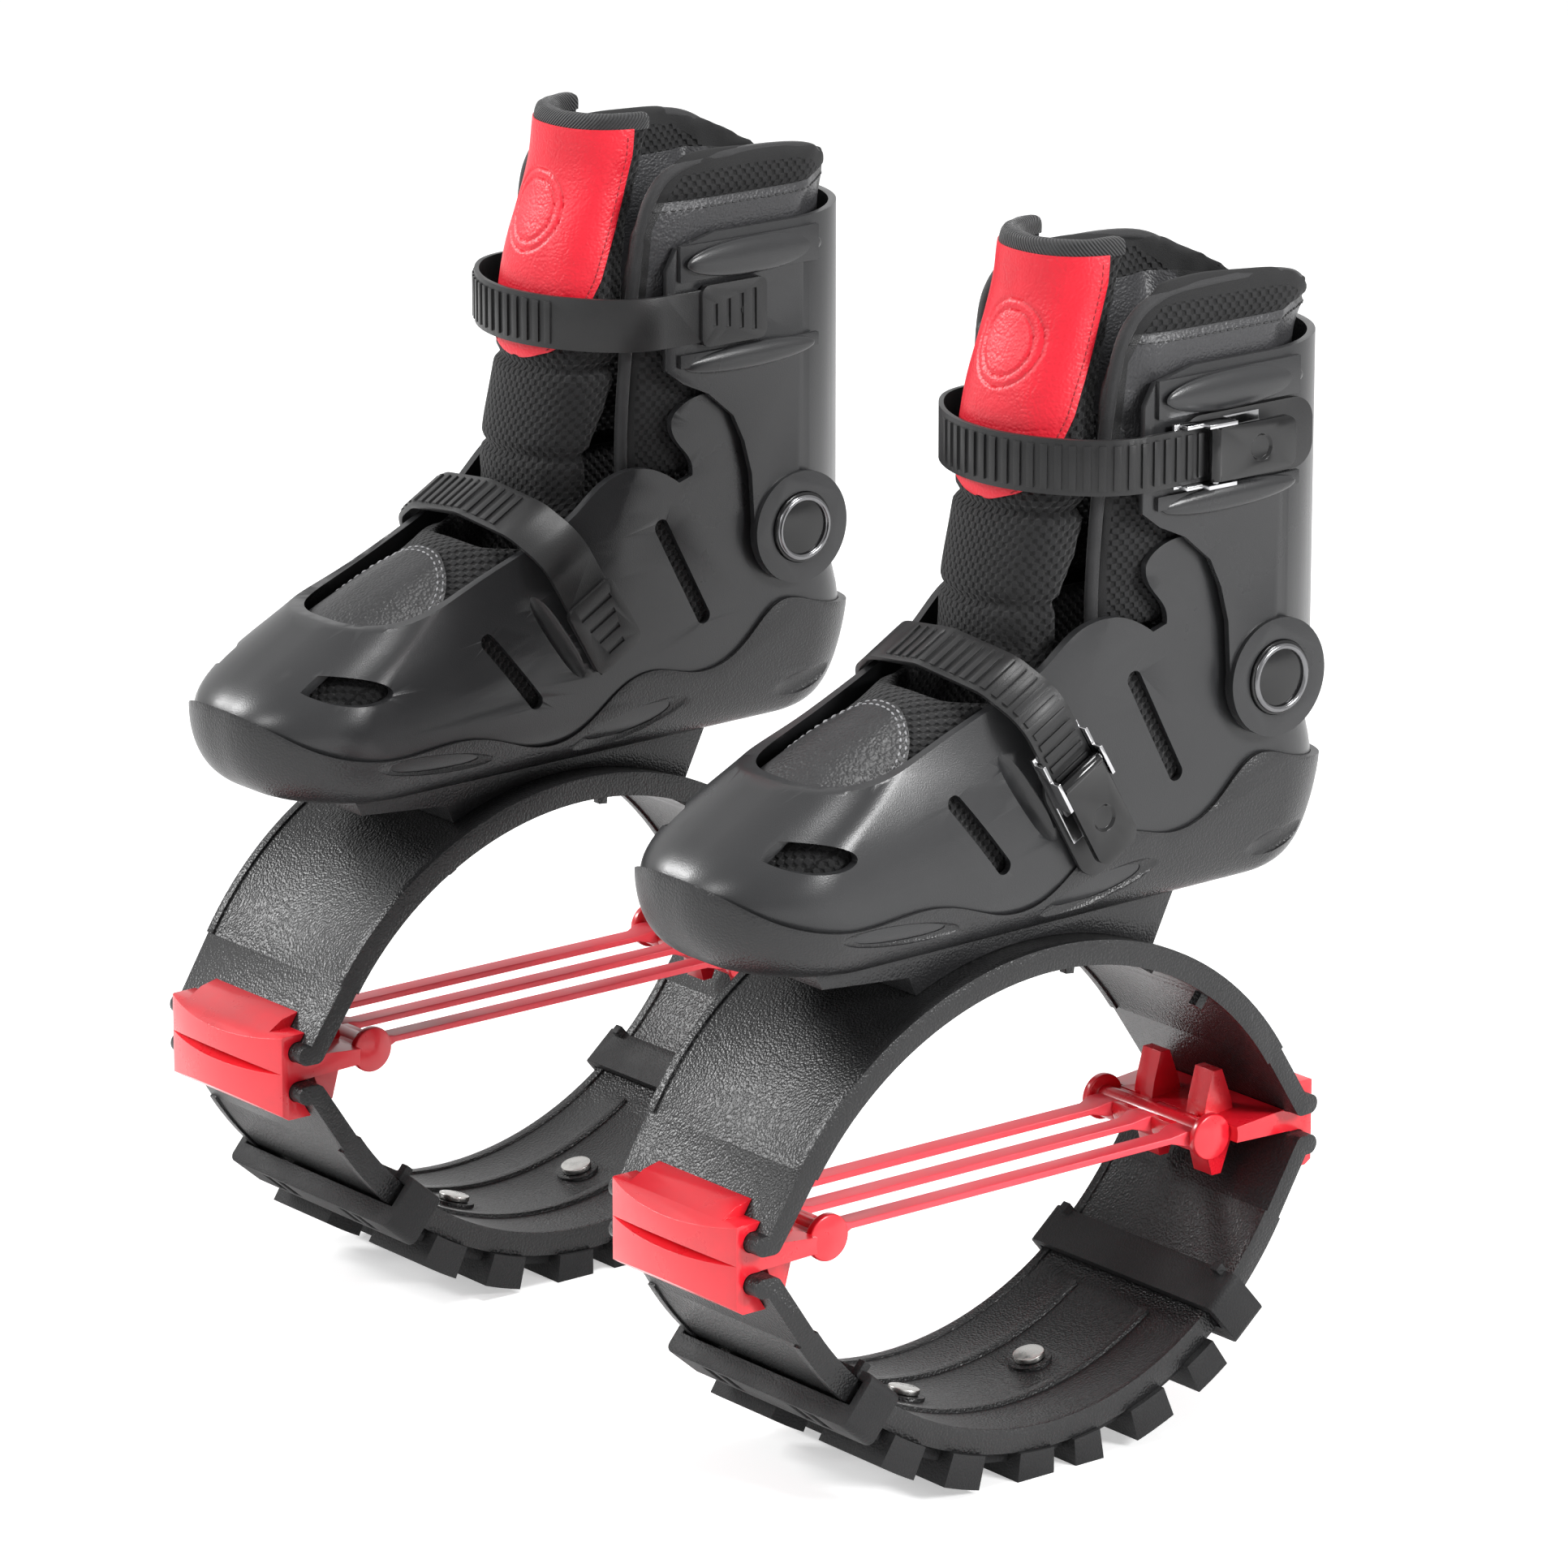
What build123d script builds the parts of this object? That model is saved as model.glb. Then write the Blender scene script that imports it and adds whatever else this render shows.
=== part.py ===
from build123d import *
import math
import os

# A pair of rebound boots: a skate-style boot on a sprung frame of two arches, clips and tension straps.
# Millimetres. Toes point to -Y, the wearer's left is +X, and the ground is at zero height.

# Stance and overall reach
stance_half = 150.0
toe_reach = 153.0
heel_reach = 158.5
frame_setback = 3.5

# Sprung frame
arch_radius = 142.0
arch_sweep = 57.0
arch_thickness = 8.0
arch_rise = 98.0
arch_foot_height = 8.5
arch_foot_reach = 139.5
arch_half_width = 52.0
arch_end_half_width = 46.0
arch_edge_bead = 4.0
arch_bead_proud = 1.0
rib_spread = 22.0
rib_width = 4.0
rib_proud = 1.6
rib_sweep = 33.0
peg_size = 4.0
peg_drop = 7.0

# Tread
tread_base = 5.0
tread_radial = 15.0
tread_overlap = 1.6
tread_sweep = 34.0
tread_depth = 12.0
lug_inset = 15.0

# Clips, rods and tension straps
clip_half_width = 39.0
clip_lip_half_width = 29.0
clip_half_height = 20.0
clip_end_reach = 147.0
clip_mid_reach = 153.0
web_thickness = 6.0
rod_reach = 98.0
rod_radius = 5.0
rod_half_length = 36.0
disc_radius = 9.5
cone_height = 1.4
bar_width = 12.0
bar_thickness = 6.0
bar_spread = 24.0
eye_radius = 8.0
fang_height = 22.0
fang_width = 11.0
fang_length = 17.0
fang_spread = 16.0
fang_reach = 113.0

# Bands that hold the tread on
band_sweep = 40.5
band_width = 18.0
band_wall = 4.0
band_pad = 9.0
band_slot_width = 6.0
band_slot_depth = 4.0

# Bolts through the upper arch and rivets through the lower one
bolt_radius = 3.0
bolt_head_radius = 5.5
bolt_head_height = 3.0
bolt_spread = 14.0
bolt_pitch = 30.0
rivet_radius = 3.0
rivet_head_radius = 6.5
rivet_head_height = 2.4
rivet_pitch = 34.0
washer_radius = 9.0

# Sole and shell
sole_clearance_height = 6.0
sole_height = 58.0
sole_lip = 2.6
shell_height = 142.0
shell_half_width = 46.4
forefoot_half_width = 50.0
shell_wall = 3.0
shell_floor = 4.0
vent_width = 7.0
toe_vent_tilt = 7.0

# Cuff and ankle pivot
pivot_back_share = 0.694
pivot_rise_share = 0.535
boss_radius = 24.0
cap_radius = 15.0
cap_thickness = 2.4
boss_proud = 2.0
cap_recess = 1.5
swing_room = 0.8
pin_radius = 5.0
cuff_wall = 3.5
cuff_top_share = 1.465
cuff_back_room = 2.6

# Padding
liner_wall = 6.0
collar_wall = 9.0
collar_top_share = 1.725
tongue_top_share = 1.824
tongue_half_width = 30.0
throat_half_width = 34.0
patch_thickness = 1.2

# Closures
ladder_width = 22.0
ladder_thickness = 2.0
tooth_height = 0.9
tooth_pitch = 5.6
buckle_length = 44.0
buckle_wall = 1.5
lever_length = 40.0
lever_thickness = 2.8
dish_radius = 7.5
plate_thickness = 2.0
pin_wire = 1.4
barrel_radius = 2.6
rivet_stem = 2.2
cuff_strap_share = 1.225
cuff_strap_front = 2.6
cuff_strap_bend_share = 0.24
cuff_strap_corner = 30.0
cuff_anchor_share = 0.568
cuff_hinge_share = 0.429
instep_hinge_back = 3.0
instep_hinge_share = 0.4
instep_slope = 60.0
instep_crown = 49.0
instep_anchor_drop = 25.0
instep_plate_room = 2.0
pad_length = 34.0
pad_proud = 1.6
pad_margin = 2.0
pad_groove = 2.4

# Fits
gap = 0.3
running = 0.1
overrun = 30.0

frame_mid = tread_depth + arch_thickness / 2 + arch_rise
arch_centre_drop = arch_radius - arch_rise
crown_top = frame_mid + arch_rise + arch_thickness / 2
sole_bottom = crown_top + sole_clearance_height
shell_bottom = sole_bottom + 2 * shell_floor
cuff_back = heel_reach - sole_lip
shell_back = cuff_back - cuff_wall - cuff_back_room
frame_front = -frame_setback - clip_mid_reach
centre_shift = -(frame_front + heel_reach) / 2
disc_inside = bar_spread + bar_width / 2 + 4 * gap

# Heights up the boot, each a share of the shell's height above the shell's base, and places along it
pivot_height = shell_bottom + pivot_rise_share * shell_height
cuff_top = shell_bottom + cuff_top_share * shell_height
collar_top = shell_bottom + collar_top_share * shell_height
tongue_top = shell_bottom + tongue_top_share * shell_height
cuff_strap_height = shell_bottom + cuff_strap_share * shell_height
instep_hinge_height = shell_bottom + instep_hinge_share * shell_height
pivot_back = pivot_back_share * heel_reach
cuff_anchor_back = cuff_anchor_share * heel_reach
cuff_hinge_back = cuff_hinge_share * heel_reach


standing = (Align.CENTER, Align.CENTER, Align.MIN)
hanging = (Align.CENTER, Align.CENTER, Align.MAX)


def side_slab(outline, half_width):
    """A side-view outline of (y, z) points, run out to both sides."""
    return extrude(Plane.YZ * make_face(Polyline(outline, close=True)), half_width, both=True)


def front_slab(outline, front, back):
    """A front-view outline of (x, z) points, run from a front place to a back place."""
    face = Plane.XZ * make_face(Polyline(outline, close=True))
    return Pos(0, back, 0) * extrude(face, back - front)


def block(x_range, y_range, z_range):
    """A box between two places on each axis."""
    size = [high - low for low, high in (x_range, y_range, z_range)]
    low = (x_range[0], y_range[0], z_range[0])
    return Pos(*low) * Box(*size, align=(Align.MIN, Align.MIN, Align.MIN))


# Frame pieces are drawn about the frame's middle: y outwards from it, z above its mid height.

def in_frame(shape):
    """Moves a frame piece from the frame's middle to its place under the shoe."""
    return Pos(0, -frame_setback, frame_mid) * shape


def arch_line():
    """The middle line of the upper arch's plate, from foot to foot."""
    sweep = math.radians(arch_sweep)
    knee_out = arch_radius * math.sin(sweep)
    knee_up = arch_radius * math.cos(sweep) - arch_centre_drop
    leg = (knee_up - arch_foot_height) / math.sin(sweep)
    bend_out = knee_out + leg * math.cos(sweep)
    crown = (0, arch_rise)
    right = [(knee_out, knee_up), (bend_out, arch_foot_height), (arch_foot_reach, arch_foot_height)]
    left = [(-y, z) for y, z in right]
    return Wire([
        Line(left[2], left[1]),
        Line(left[1], left[0]),
        ThreePointArc(left[0], crown, right[0]),
        Line(right[0], right[1]),
        Line(right[1], right[2]),
    ])


def arch_slab(thickness, half_width):
    """The arch's plate at a chosen thickness and width."""
    face = make_face(arch_line().offset_2d(thickness / 2, kind=Kind.ARC, side=Side.BOTH))
    return extrude(Plane.YZ * face, half_width, both=True)


def arch_plan(half_width, end_half_width):
    """The arch's outline from above, waisted towards its feet."""
    reach = arch_foot_reach + arch_thickness
    edge = ThreePointArc((-end_half_width, -reach), (-half_width, 0), (-end_half_width, reach))
    other = ThreePointArc((end_half_width, reach), (half_width, 0), (end_half_width, -reach))
    outline = Wire([edge, Line(edge @ 1, other @ 0), other, Line(other @ 1, edge @ 0)])
    return extrude(make_face(outline), arch_rise + overrun, both=True)


def ring_sector(inner, outer, half_width, sweep):
    """Part of a round shell about the arch circle's axis, centred on the crown."""
    axis_height = -arch_centre_drop
    tube = Cylinder(outer, 2 * half_width, rotation=(0, 90, 0))
    tube -= Cylinder(inner, 2 * half_width + overrun, rotation=(0, 90, 0))
    reach = outer + overrun
    spread = reach * math.tan(math.radians(sweep))
    wedge = side_slab([(0, 0), (spread, reach), (-spread, reach)], half_width + overrun)
    return Pos(0, 0, axis_height) * (tube & wedge)


def make_arch(peg_angles):
    """One arch: a plate with beaded long edges, inner ribs and small pegs."""
    plate = arch_slab(arch_thickness, arch_half_width + arch_edge_bead)
    plate &= arch_plan(arch_half_width, arch_end_half_width)
    thick = arch_thickness + 2 * arch_bead_proud
    rim = ring_sector(arch_radius - thick / 2, arch_radius + thick / 2, arch_half_width, arch_sweep)
    rim &= arch_plan(arch_half_width, arch_end_half_width)
    rim -= arch_plan(arch_half_width - arch_edge_bead, arch_end_half_width - arch_edge_bead)
    inner = arch_radius - arch_thickness / 2
    strip = ring_sector(inner - rib_proud, inner + rib_proud, rib_width / 2, rib_sweep)
    arch = plate + rim + Pos(rib_spread, 0, 0) * strip + Pos(-rib_spread, 0, 0) * strip
    for angle in peg_angles:
        for side in (-1, 1):
            peg = Box(peg_size, peg_size, peg_drop)
            peg = Pos(side * (arch_end_half_width - peg_size), 0, inner - peg_drop / 2 + arch_bead_proud) * peg
            arch += Pos(0, 0, -arch_centre_drop) * (Rot(-angle, 0, 0) * peg)
    return arch


def frame_flip(shape):
    """Turns an upper-frame piece over about the shoe's length to make the lower one."""
    return Rot(0, 180, 0) * shape


def end_flip(shape):
    """Turns a rear frame piece about to make the front one."""
    return Rot(0, 0, 180) * shape


def hole_set(radius, places, length):
    """Upright round bars through the given (x, y) places."""
    bars = Part()
    for x, y in places:
        bars += Pos(x, y, 0) * Cylinder(radius, length)
    return bars


bolt_places = [(x * bolt_spread, y * bolt_pitch) for x in (-1, 1) for y in (-1, 1)]
rivet_places = [(0, -rivet_pitch), (0, rivet_pitch)]


def make_upper_arch():
    holes = Pos(0, 0, arch_rise) * hole_set(bolt_radius + gap, bolt_places, overrun)
    return in_frame(make_arch((-arch_sweep / 2, arch_sweep / 9, 2 * arch_sweep / 3)) - holes)


def make_lower_arch():
    arch = make_arch(())
    inner = arch_radius - arch_thickness / 2
    for x, y in rivet_places:
        angle = math.degrees(math.asin(y / arch_radius))
        washer = Pos(x, 0, inner) * Cylinder(washer_radius, 2 * rib_proud)
        arch += Pos(0, 0, -arch_centre_drop) * (Rot(-angle, 0, 0) * washer)
    arch -= rivet_bars(rivet_radius + gap, arch_thickness + overrun)
    return in_frame(frame_flip(arch))


def rivet_bars(radius, length):
    """Round bars square to the arch at each rivet's place."""
    bars = Part()
    for x, y in rivet_places:
        angle = math.degrees(math.asin(y / arch_radius))
        bar = Pos(x, 0, arch_radius) * Cylinder(radius, length)
        bars += Pos(0, 0, -arch_centre_drop) * (Rot(-angle, 0, 0) * bar)
    return bars


def make_tread_rivets():
    """Domed rivets that clinch the tread to the lower arch."""
    shank = arch_thickness + 2 * rib_proud + 2 * tread_base
    rivets = Part()
    for x, y in rivet_places:
        angle = math.degrees(math.asin(y / arch_radius))
        low = arch_radius - arch_thickness / 2 - rib_proud
        bar = Pos(x, 0, low + tread_base) * Cylinder(rivet_radius, 2 * tread_base)
        head = Cylinder(rivet_head_radius, rivet_head_height)
        head = Pos(x, 0, low - gap - rivet_head_height / 2) * head
        neck = Pos(x, 0, low - gap) * Cylinder(rivet_radius, 2 * rivet_head_height)
        rivets += Pos(0, 0, -arch_centre_drop) * (Rot(-angle, 0, 0) * (bar + head + neck))
    return in_frame(frame_flip(rivets))


lug_spans = ((-33.0, -26.2), (-20.2, -13.6), (-6.5, 0.2), (4.3, 9.5), (15.9, 23.0), (28.3, 34.4))
middle_lug_spans = ((-13.0, -9.0), (-5.5, -2.0), (2.0, 5.5), (9.0, 13.0))


def lug(span, inner, outer, half_width):
    """A tread block between two angles of the arch circle."""
    low, high = span
    sector = ring_sector(inner, outer, half_width, (high - low) / 2)
    turn = Rot(-(low + high) / 2, 0, 0)
    return Pos(0, 0, -arch_centre_drop) * (turn * (Pos(0, 0, arch_centre_drop) * sector))


def make_tread():
    """The rubber tread: a base strip with side lugs and middle blocks, cut flat where it stands."""
    seat = arch_radius + arch_thickness / 2 + arch_bead_proud + gap / 2
    outer = arch_radius + arch_thickness / 2 + tread_radial
    base = ring_sector(seat, seat + tread_base, arch_end_half_width, tread_sweep)
    tread = base
    for span in lug_spans:
        bar = lug(span, seat, outer, arch_half_width + tread_overlap)
        tread += bar - block((-lug_inset, lug_inset), (-outer, outer), (-outer, outer))
    for span in middle_lug_spans:
        tread += lug(span, seat, outer, lug_inset + tread_base)
    tread -= rivet_bars(rivet_radius + running, 4 * tread_base)
    ground = frame_mid
    wide = arch_half_width + overrun
    tread &= block((-wide, wide), (-outer, outer), (-outer, ground))
    return in_frame(frame_flip(tread))


def make_band(front):
    """A moulded loop round the lower arch with a slotted outer pad and hook pegs."""
    half = arch_half_width
    hole_x = half + gap
    hole_z = arch_thickness / 2 + arch_bead_proud + gap
    loop = Box(2 * (hole_x + band_wall), band_width, 2 * hole_z + band_wall + band_pad)
    loop = Pos(0, 0, (band_pad - band_wall) / 2) * loop
    loop = fillet(loop.edges().filter_by(Axis.Y), band_wall * 0.9)
    loop -= Box(2 * hole_x, band_width + overrun, 2 * hole_z)
    for x in (-0.62, -0.42, 0.42, 0.62):
        slot = Box(band_slot_width, band_width * 0.7, 2 * band_slot_depth)
        loop -= Pos(x * half, 0, hole_z + band_pad) * slot
    for x in (-0.9, 0.9):
        hook = Box(peg_size, peg_size, peg_drop)
        loop += Pos(x * half, band_width / 2 - peg_size / 4, -hole_z - band_wall) * hook
    turned = Pos(0, 0, -arch_centre_drop) * (Rot(-band_sweep, 0, 0) * (Pos(0, 0, arch_radius) * loop))
    if front:
        turned = end_flip(turned)
    return in_frame(frame_flip(turned))


hook_reach = 2 * eye_radius
below_rod_top = block((-hook_reach, hook_reach), (-hook_reach, hook_reach), (-hook_reach, web_thickness / 2))


def make_clip(front):
    """A red end clip: a bulged wall with two channels for the arches' feet, and a web out to the rod."""
    foot_radius = arch_thickness / 2
    wall_in = arch_foot_reach - foot_radius
    reach = clip_mid_reach
    low = -clip_half_height
    outline = [
        (wall_in - foot_radius, low),
        (clip_end_reach - web_thickness / 2, low),
        (reach, low + web_thickness),
        (reach, -web_thickness / 4),
        (reach - web_thickness, 0),
        (reach, web_thickness / 2),
        (reach, clip_half_height * 0.6),
        (arch_foot_reach, clip_half_height),
        (arch_foot_reach - foot_radius * 2.2, clip_half_height + foot_radius / 2),
        (arch_foot_reach - foot_radius * 2.6, clip_half_height),
        (wall_in, web_thickness),
        (rod_reach + rod_radius + running, web_thickness / 2),
        (rod_reach + rod_radius + running, -web_thickness / 2),
        (wall_in, -web_thickness / 2 - foot_radius / 4),
    ]
    clip = side_slab(outline, clip_half_width)
    arch_cut = arch_slab(arch_thickness + 2 * gap, clip_half_width + overrun)
    clip -= arch_cut
    clip -= frame_flip(arch_cut)
    end = clip_end_reach
    bulge = Wire([
        ThreePointArc((-clip_half_width, end), (0, reach), (clip_half_width, end)),
        Line((clip_half_width, end), (clip_half_width, 0)),
        Line((clip_half_width, 0), (-clip_half_width, 0)),
        Line((-clip_half_width, 0), (-clip_half_width, end)),
    ])
    clip &= extrude(make_face(bulge), 2 * clip_half_height, both=True)
    for side in (-1, 1):
        middle = side * (clip_half_width + clip_lip_half_width + overrun) / 2
        corner = Box(clip_half_width - clip_lip_half_width + overrun, 4 * clip_half_height, clip_half_height)
        clip -= Pos(middle, reach, clip_half_height * 1.3) * corner
    base = fang_length / 2
    tip = fang_length / 5
    fang = [
        (fang_reach - base, 0),
        (fang_reach - base * 0.8, fang_height * 0.45),
        (fang_reach - tip, fang_height),
        (fang_reach + tip * 0.4, fang_height),
        (fang_reach + base * 0.75, fang_height * 0.4),
        (fang_reach + base, 0),
    ]
    fangs = Part()
    for side in (-1, 1):
        fangs += Pos(side * fang_spread, 0, 0) * side_slab(fang, fang_width / 2)
    clip += fangs + frame_flip(fangs)
    for side in (-1, 1):
        knuckle = Cylinder(eye_radius, bar_spread - bar_width - 2 * gap, rotation=(0, 90, 0))
        clip += Pos(side * bar_spread / 2, rod_reach, 0) * (knuckle & below_rod_top)
    for place in (-1, 0, 1):
        eye_room = Cylinder(eye_radius + gap, bar_width + 2 * gap, rotation=(0, 90, 0))
        clip -= Pos(place * bar_spread, rod_reach, 0) * eye_room
    disc_room = Cylinder(disc_radius + gap, clip_half_width, align=standing)
    for side in (-1, 1):
        clip -= Pos(side * (disc_inside - gap), rod_reach, 0) * (Rot(0, 90 * side, 0) * disc_room)
    rod_room = Cylinder(rod_radius + running, 2 * clip_half_width + overrun, rotation=(0, 90, 0))
    clip -= Pos(0, rod_reach, 0) * rod_room
    if front:
        clip = end_flip(clip)
    return in_frame(clip)


def make_rod(front):
    """A cross rod with a coned disc at each end."""
    rod = Cylinder(rod_radius, 2 * (rod_half_length - cone_height), rotation=(0, 90, 0))
    disc_thickness = rod_half_length - cone_height - disc_inside
    for side in (-1, 1):
        disc = Cylinder(disc_radius, disc_thickness, rotation=(0, 90, 0))
        disc = Pos(side * (disc_inside + disc_thickness / 2), 0, 0) * disc
        cone = Cone(disc_radius, disc_radius * 0.15, cone_height, rotation=(0, 90 * side, 0))
        cone = Pos(side * (rod_half_length - cone_height / 2), 0, 0) * cone
        rod += disc + cone
    place = -rod_reach if front else rod_reach
    return in_frame(Pos(0, place, 0) * rod)


def make_tension_straps():
    """Three stretch straps, each with an eye round both rods."""
    straps = Part()
    for place in (-1, 0, 1):
        bar = Box(bar_width, 2 * rod_reach, bar_thickness)
        for end in (-1, 1):
            hook = Cylinder(eye_radius, bar_width, rotation=(0, 90, 0)) & below_rod_top
            bar += Pos(0, end * rod_reach, 0) * hook
        for end in (-1, 1):
            hole = Cylinder(rod_radius + running, bar_width + overrun, rotation=(0, 90, 0))
            bar -= Pos(0, end * rod_reach, 0) * hole
        straps += Pos(place * bar_spread, 0, 0) * bar
    return in_frame(straps)


# Foot and leg forms. Each row of shares is one level of a form: its height, its front, waist and back
# places, its half widths at those three, and its corner radii at the front and the back.
foot_form_shares = (
    (0.00, -0.90, 0.12, 0.915, 0.92, 0.93, 0.80, 0.80, 0.70),
    (0.08, -0.97, 0.12, 0.985, 1.00, 1.00, 0.86, 0.88, 0.76),
    (0.20, -1.00, 0.12, 1.030, 0.97, 1.01, 0.93, 0.90, 0.82),
    (0.31, -0.89, 0.12, 1.025, 0.88, 1.00, 0.96, 0.90, 0.86),
    (0.43, -0.69, 0.12, 1.000, 0.74, 0.985, 0.975, 0.90, 0.90),
    (0.64, -0.36, 0.14, 0.995, 0.65, 0.98, 0.98, 0.86, 0.94),
    (0.84, -0.08, 0.22, 0.995, 0.72, 0.985, 0.985, 0.76, 0.94),
    (1.00, 0.08, 0.26, 0.995, 0.80, 0.985, 0.985, 0.50, 0.94),
)
liner_form_shares = (
    (0.04, -0.88, 0.12, 0.90, 0.86, 0.86, 0.72, 0.80, 0.70),
    (0.12, -0.93, 0.12, 0.955, 0.90, 0.90, 0.80, 0.86, 0.76),
    (0.20, -0.93, 0.12, 0.975, 0.86, 0.91, 0.83, 0.88, 0.82),
    (0.28, -0.85, 0.12, 0.975, 0.80, 0.91, 0.86, 0.88, 0.84),
    (0.37, -0.69, 0.12, 0.965, 0.70, 0.90, 0.88, 0.88, 0.86),
    (0.46, -0.50, 0.12, 0.955, 0.63, 0.89, 0.89, 0.88, 0.88),
    (0.54, -0.32, 0.14, 0.950, 0.60, 0.89, 0.89, 0.88, 0.90),
    (0.68, -0.19, 0.17, 0.950, 0.61, 0.89, 0.89, 0.88, 0.90),
    (0.80, -0.10, 0.20, 0.950, 0.62, 0.89, 0.89, 0.88, 0.90),
)
leg_form_shares = (
    (0.00, -0.29, 0.16, 0.93, 0.60, 0.89, 0.89, 0.88, 0.90),
    (0.10, -0.155, 0.20, 0.94, 0.62, 0.89, 0.89, 0.88, 0.90),
    (0.17, -0.062, 0.26, 0.95, 0.64, 0.88, 0.88, 0.88, 0.90),
    (0.40, -0.020, 0.30, 0.965, 0.70, 0.88, 0.88, 0.86, 0.92),
    (0.55, -0.035, 0.28, 0.985, 0.76, 0.90, 0.90, 0.86, 0.92),
    (0.74, -0.055, 0.28, 1.000, 0.88, 0.985, 0.97, 0.86, 0.92),
    (0.90, -0.005, 0.28, 1.035, 0.90, 1.03, 1.02, 0.86, 0.92),
    (1.00, 0.070, 0.30, 1.020, 0.86, 1.00, 1.00, 0.80, 0.92),
)
tongue_form_shares = (
    (0.00, -0.205, 0.03, 0.26, 1.10, 1.10, 1.00, 0.90, 0.20),
    (0.105, -0.064, 0.15, 0.30, 1.00, 1.00, 0.96, 0.92, 0.20),
    (0.175, -0.060, 0.155, 0.30, 1.00, 0.98, 0.94, 0.92, 0.20),
    (0.325, -0.023, 0.19, 0.32, 0.98, 0.95, 0.92, 0.92, 0.20),
    (0.44, 0.003, 0.21, 0.34, 0.98, 0.95, 0.92, 0.92, 0.20),
    (0.72, 0.059, 0.27, 0.40, 1.00, 0.97, 0.94, 0.92, 0.20),
    (0.95, 0.124, 0.34, 0.46, 1.02, 0.99, 0.96, 0.92, 0.20),
    (1.00, 0.137, 0.35, 0.47, 1.00, 0.97, 0.94, 0.92, 0.20),
)
sole_form_shares = (
    (0.00, -0.82, 0.10, 0.81, 0.80, 0.74, 0.68, 0.86, 0.80),
    (0.13, -0.94, 0.10, 0.92, 0.93, 0.92, 0.83, 0.86, 0.80),
    (0.36, -0.99, 0.10, 0.97, 1.00, 0.97, 0.89, 0.88, 0.84),
    (0.62, -1.00, 0.10, 1.00, 1.00, 0.975, 0.93, 0.88, 0.86),
    (1.00, -0.97, 0.10, 0.99, 0.98, 0.98, 0.96, 0.88, 0.88),
)


def level_outline(height, places, halves, radii):
    """One level of a form: front, waist and back corners, rounded at the front and the back."""
    front, waist, back = places
    half_front, half_waist, half_back = halves
    right = [(half_front, front), (half_waist, waist), (half_back, back)]
    left = [(-x, y) for x, y in reversed(right)]
    face = make_face(Polyline(right + left, close=True))
    face = fillet(face.vertices().sort_by(Axis.Y)[:2], radii[0])
    face = fillet(face.vertices().sort_by(Axis.Y)[-2:], radii[1])
    return Pos(0, 0, height) * face


def body_form(table, base, height, front_size, back_size, half_sizes, grow, lower):
    """A closed form lofted through its levels, grown all round and lowered."""
    levels = []
    for up, front, waist, back, *shares in table:
        halves = [share * size + grow for share, size in zip(shares, half_sizes)]
        places = (front * front_size - grow, waist * back_size, back * back_size + grow)
        front_round, back_round = shares[3:]
        radii = (front_round * halves[0], back_round * halves[2])
        levels.append(level_outline(base + up * height - lower, places, halves, radii))
    return loft(levels)


shell_halves = (forefoot_half_width, shell_half_width, shell_half_width)
tongue_halves = (tongue_half_width, tongue_half_width, tongue_half_width)
foot_sizes = (shell_bottom, shell_height, toe_reach - sole_lip, shell_back, shell_halves)
leg_base = shell_bottom + shell_height / 2
leg_height = tongue_top - leg_base
leg_sizes = (leg_base, leg_height, toe_reach, shell_back, shell_halves)
tongue_base = leg_base + 0.08 * leg_height
tongue_sizes = (tongue_base, tongue_top - tongue_base, toe_reach, toe_reach, tongue_halves)


def foot_form(grow, lower=0.0):
    """The shell's outer form."""
    return body_form(foot_form_shares, *foot_sizes, grow, lower)


def liner_form(grow, lower=0.0):
    """The padded foot's outer form, inside the shell."""
    return body_form(liner_form_shares, *foot_sizes, grow, lower)


def leg_form(grow):
    """The padded leg's outer form, inside the cuff."""
    return body_form(leg_form_shares, *leg_sizes, grow, 0)


def tongue_form(grow):
    """The tongue's outer form, round in front of the leg and tucked inside the collar."""
    return body_form(tongue_form_shares, *tongue_sizes, grow, 0)


def sole_form():
    """The sole's outer form, proud of the shell by the sole's lip."""
    halves = [half + sole_lip for half in shell_halves]
    return body_form(sole_form_shares, sole_bottom, sole_height, toe_reach, heel_reach, halves, 0, 0)


# The wavy line where the sole ends and the shell shows: places along the foot, heights above the sole's base.
sole_line_shares = (
    (-1.30, 0.70), (-1.00, 0.69), (-0.90, 0.50), (-0.75, 0.36), (-0.60, 0.33), (-0.42, 0.36),
    (-0.30, 0.30), (-0.16, 0.18), (-0.06, 0.19), (0.05, 0.36), (0.14, 0.52), (0.24, 0.57),
    (0.38, 0.49), (0.48, 0.52), (0.57, 0.68), (0.68, 0.90), (0.80, 0.84), (0.92, 0.76), (1.30, 0.74),
)
# The shell's rim from the toe opening over the instep to the notch, then the upright and the back.
shell_rim_shares = (
    (-0.70, 0.43), (-0.48, 0.455), (-0.30, 0.53), (-0.14, 0.60), (0.00, 0.68), (0.10, 0.765), (0.19, 0.79),
    (0.27, 0.765), (0.33, 0.725),
)
shell_upright_shares = (
    (0.375, 0.74), (0.36, 0.80), (0.315, 0.86), (0.305, 0.915), (0.34, 0.955), (0.55, 0.94), (0.72, 0.79),
    (0.86, 0.66), (1.30, 0.60),
)


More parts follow.
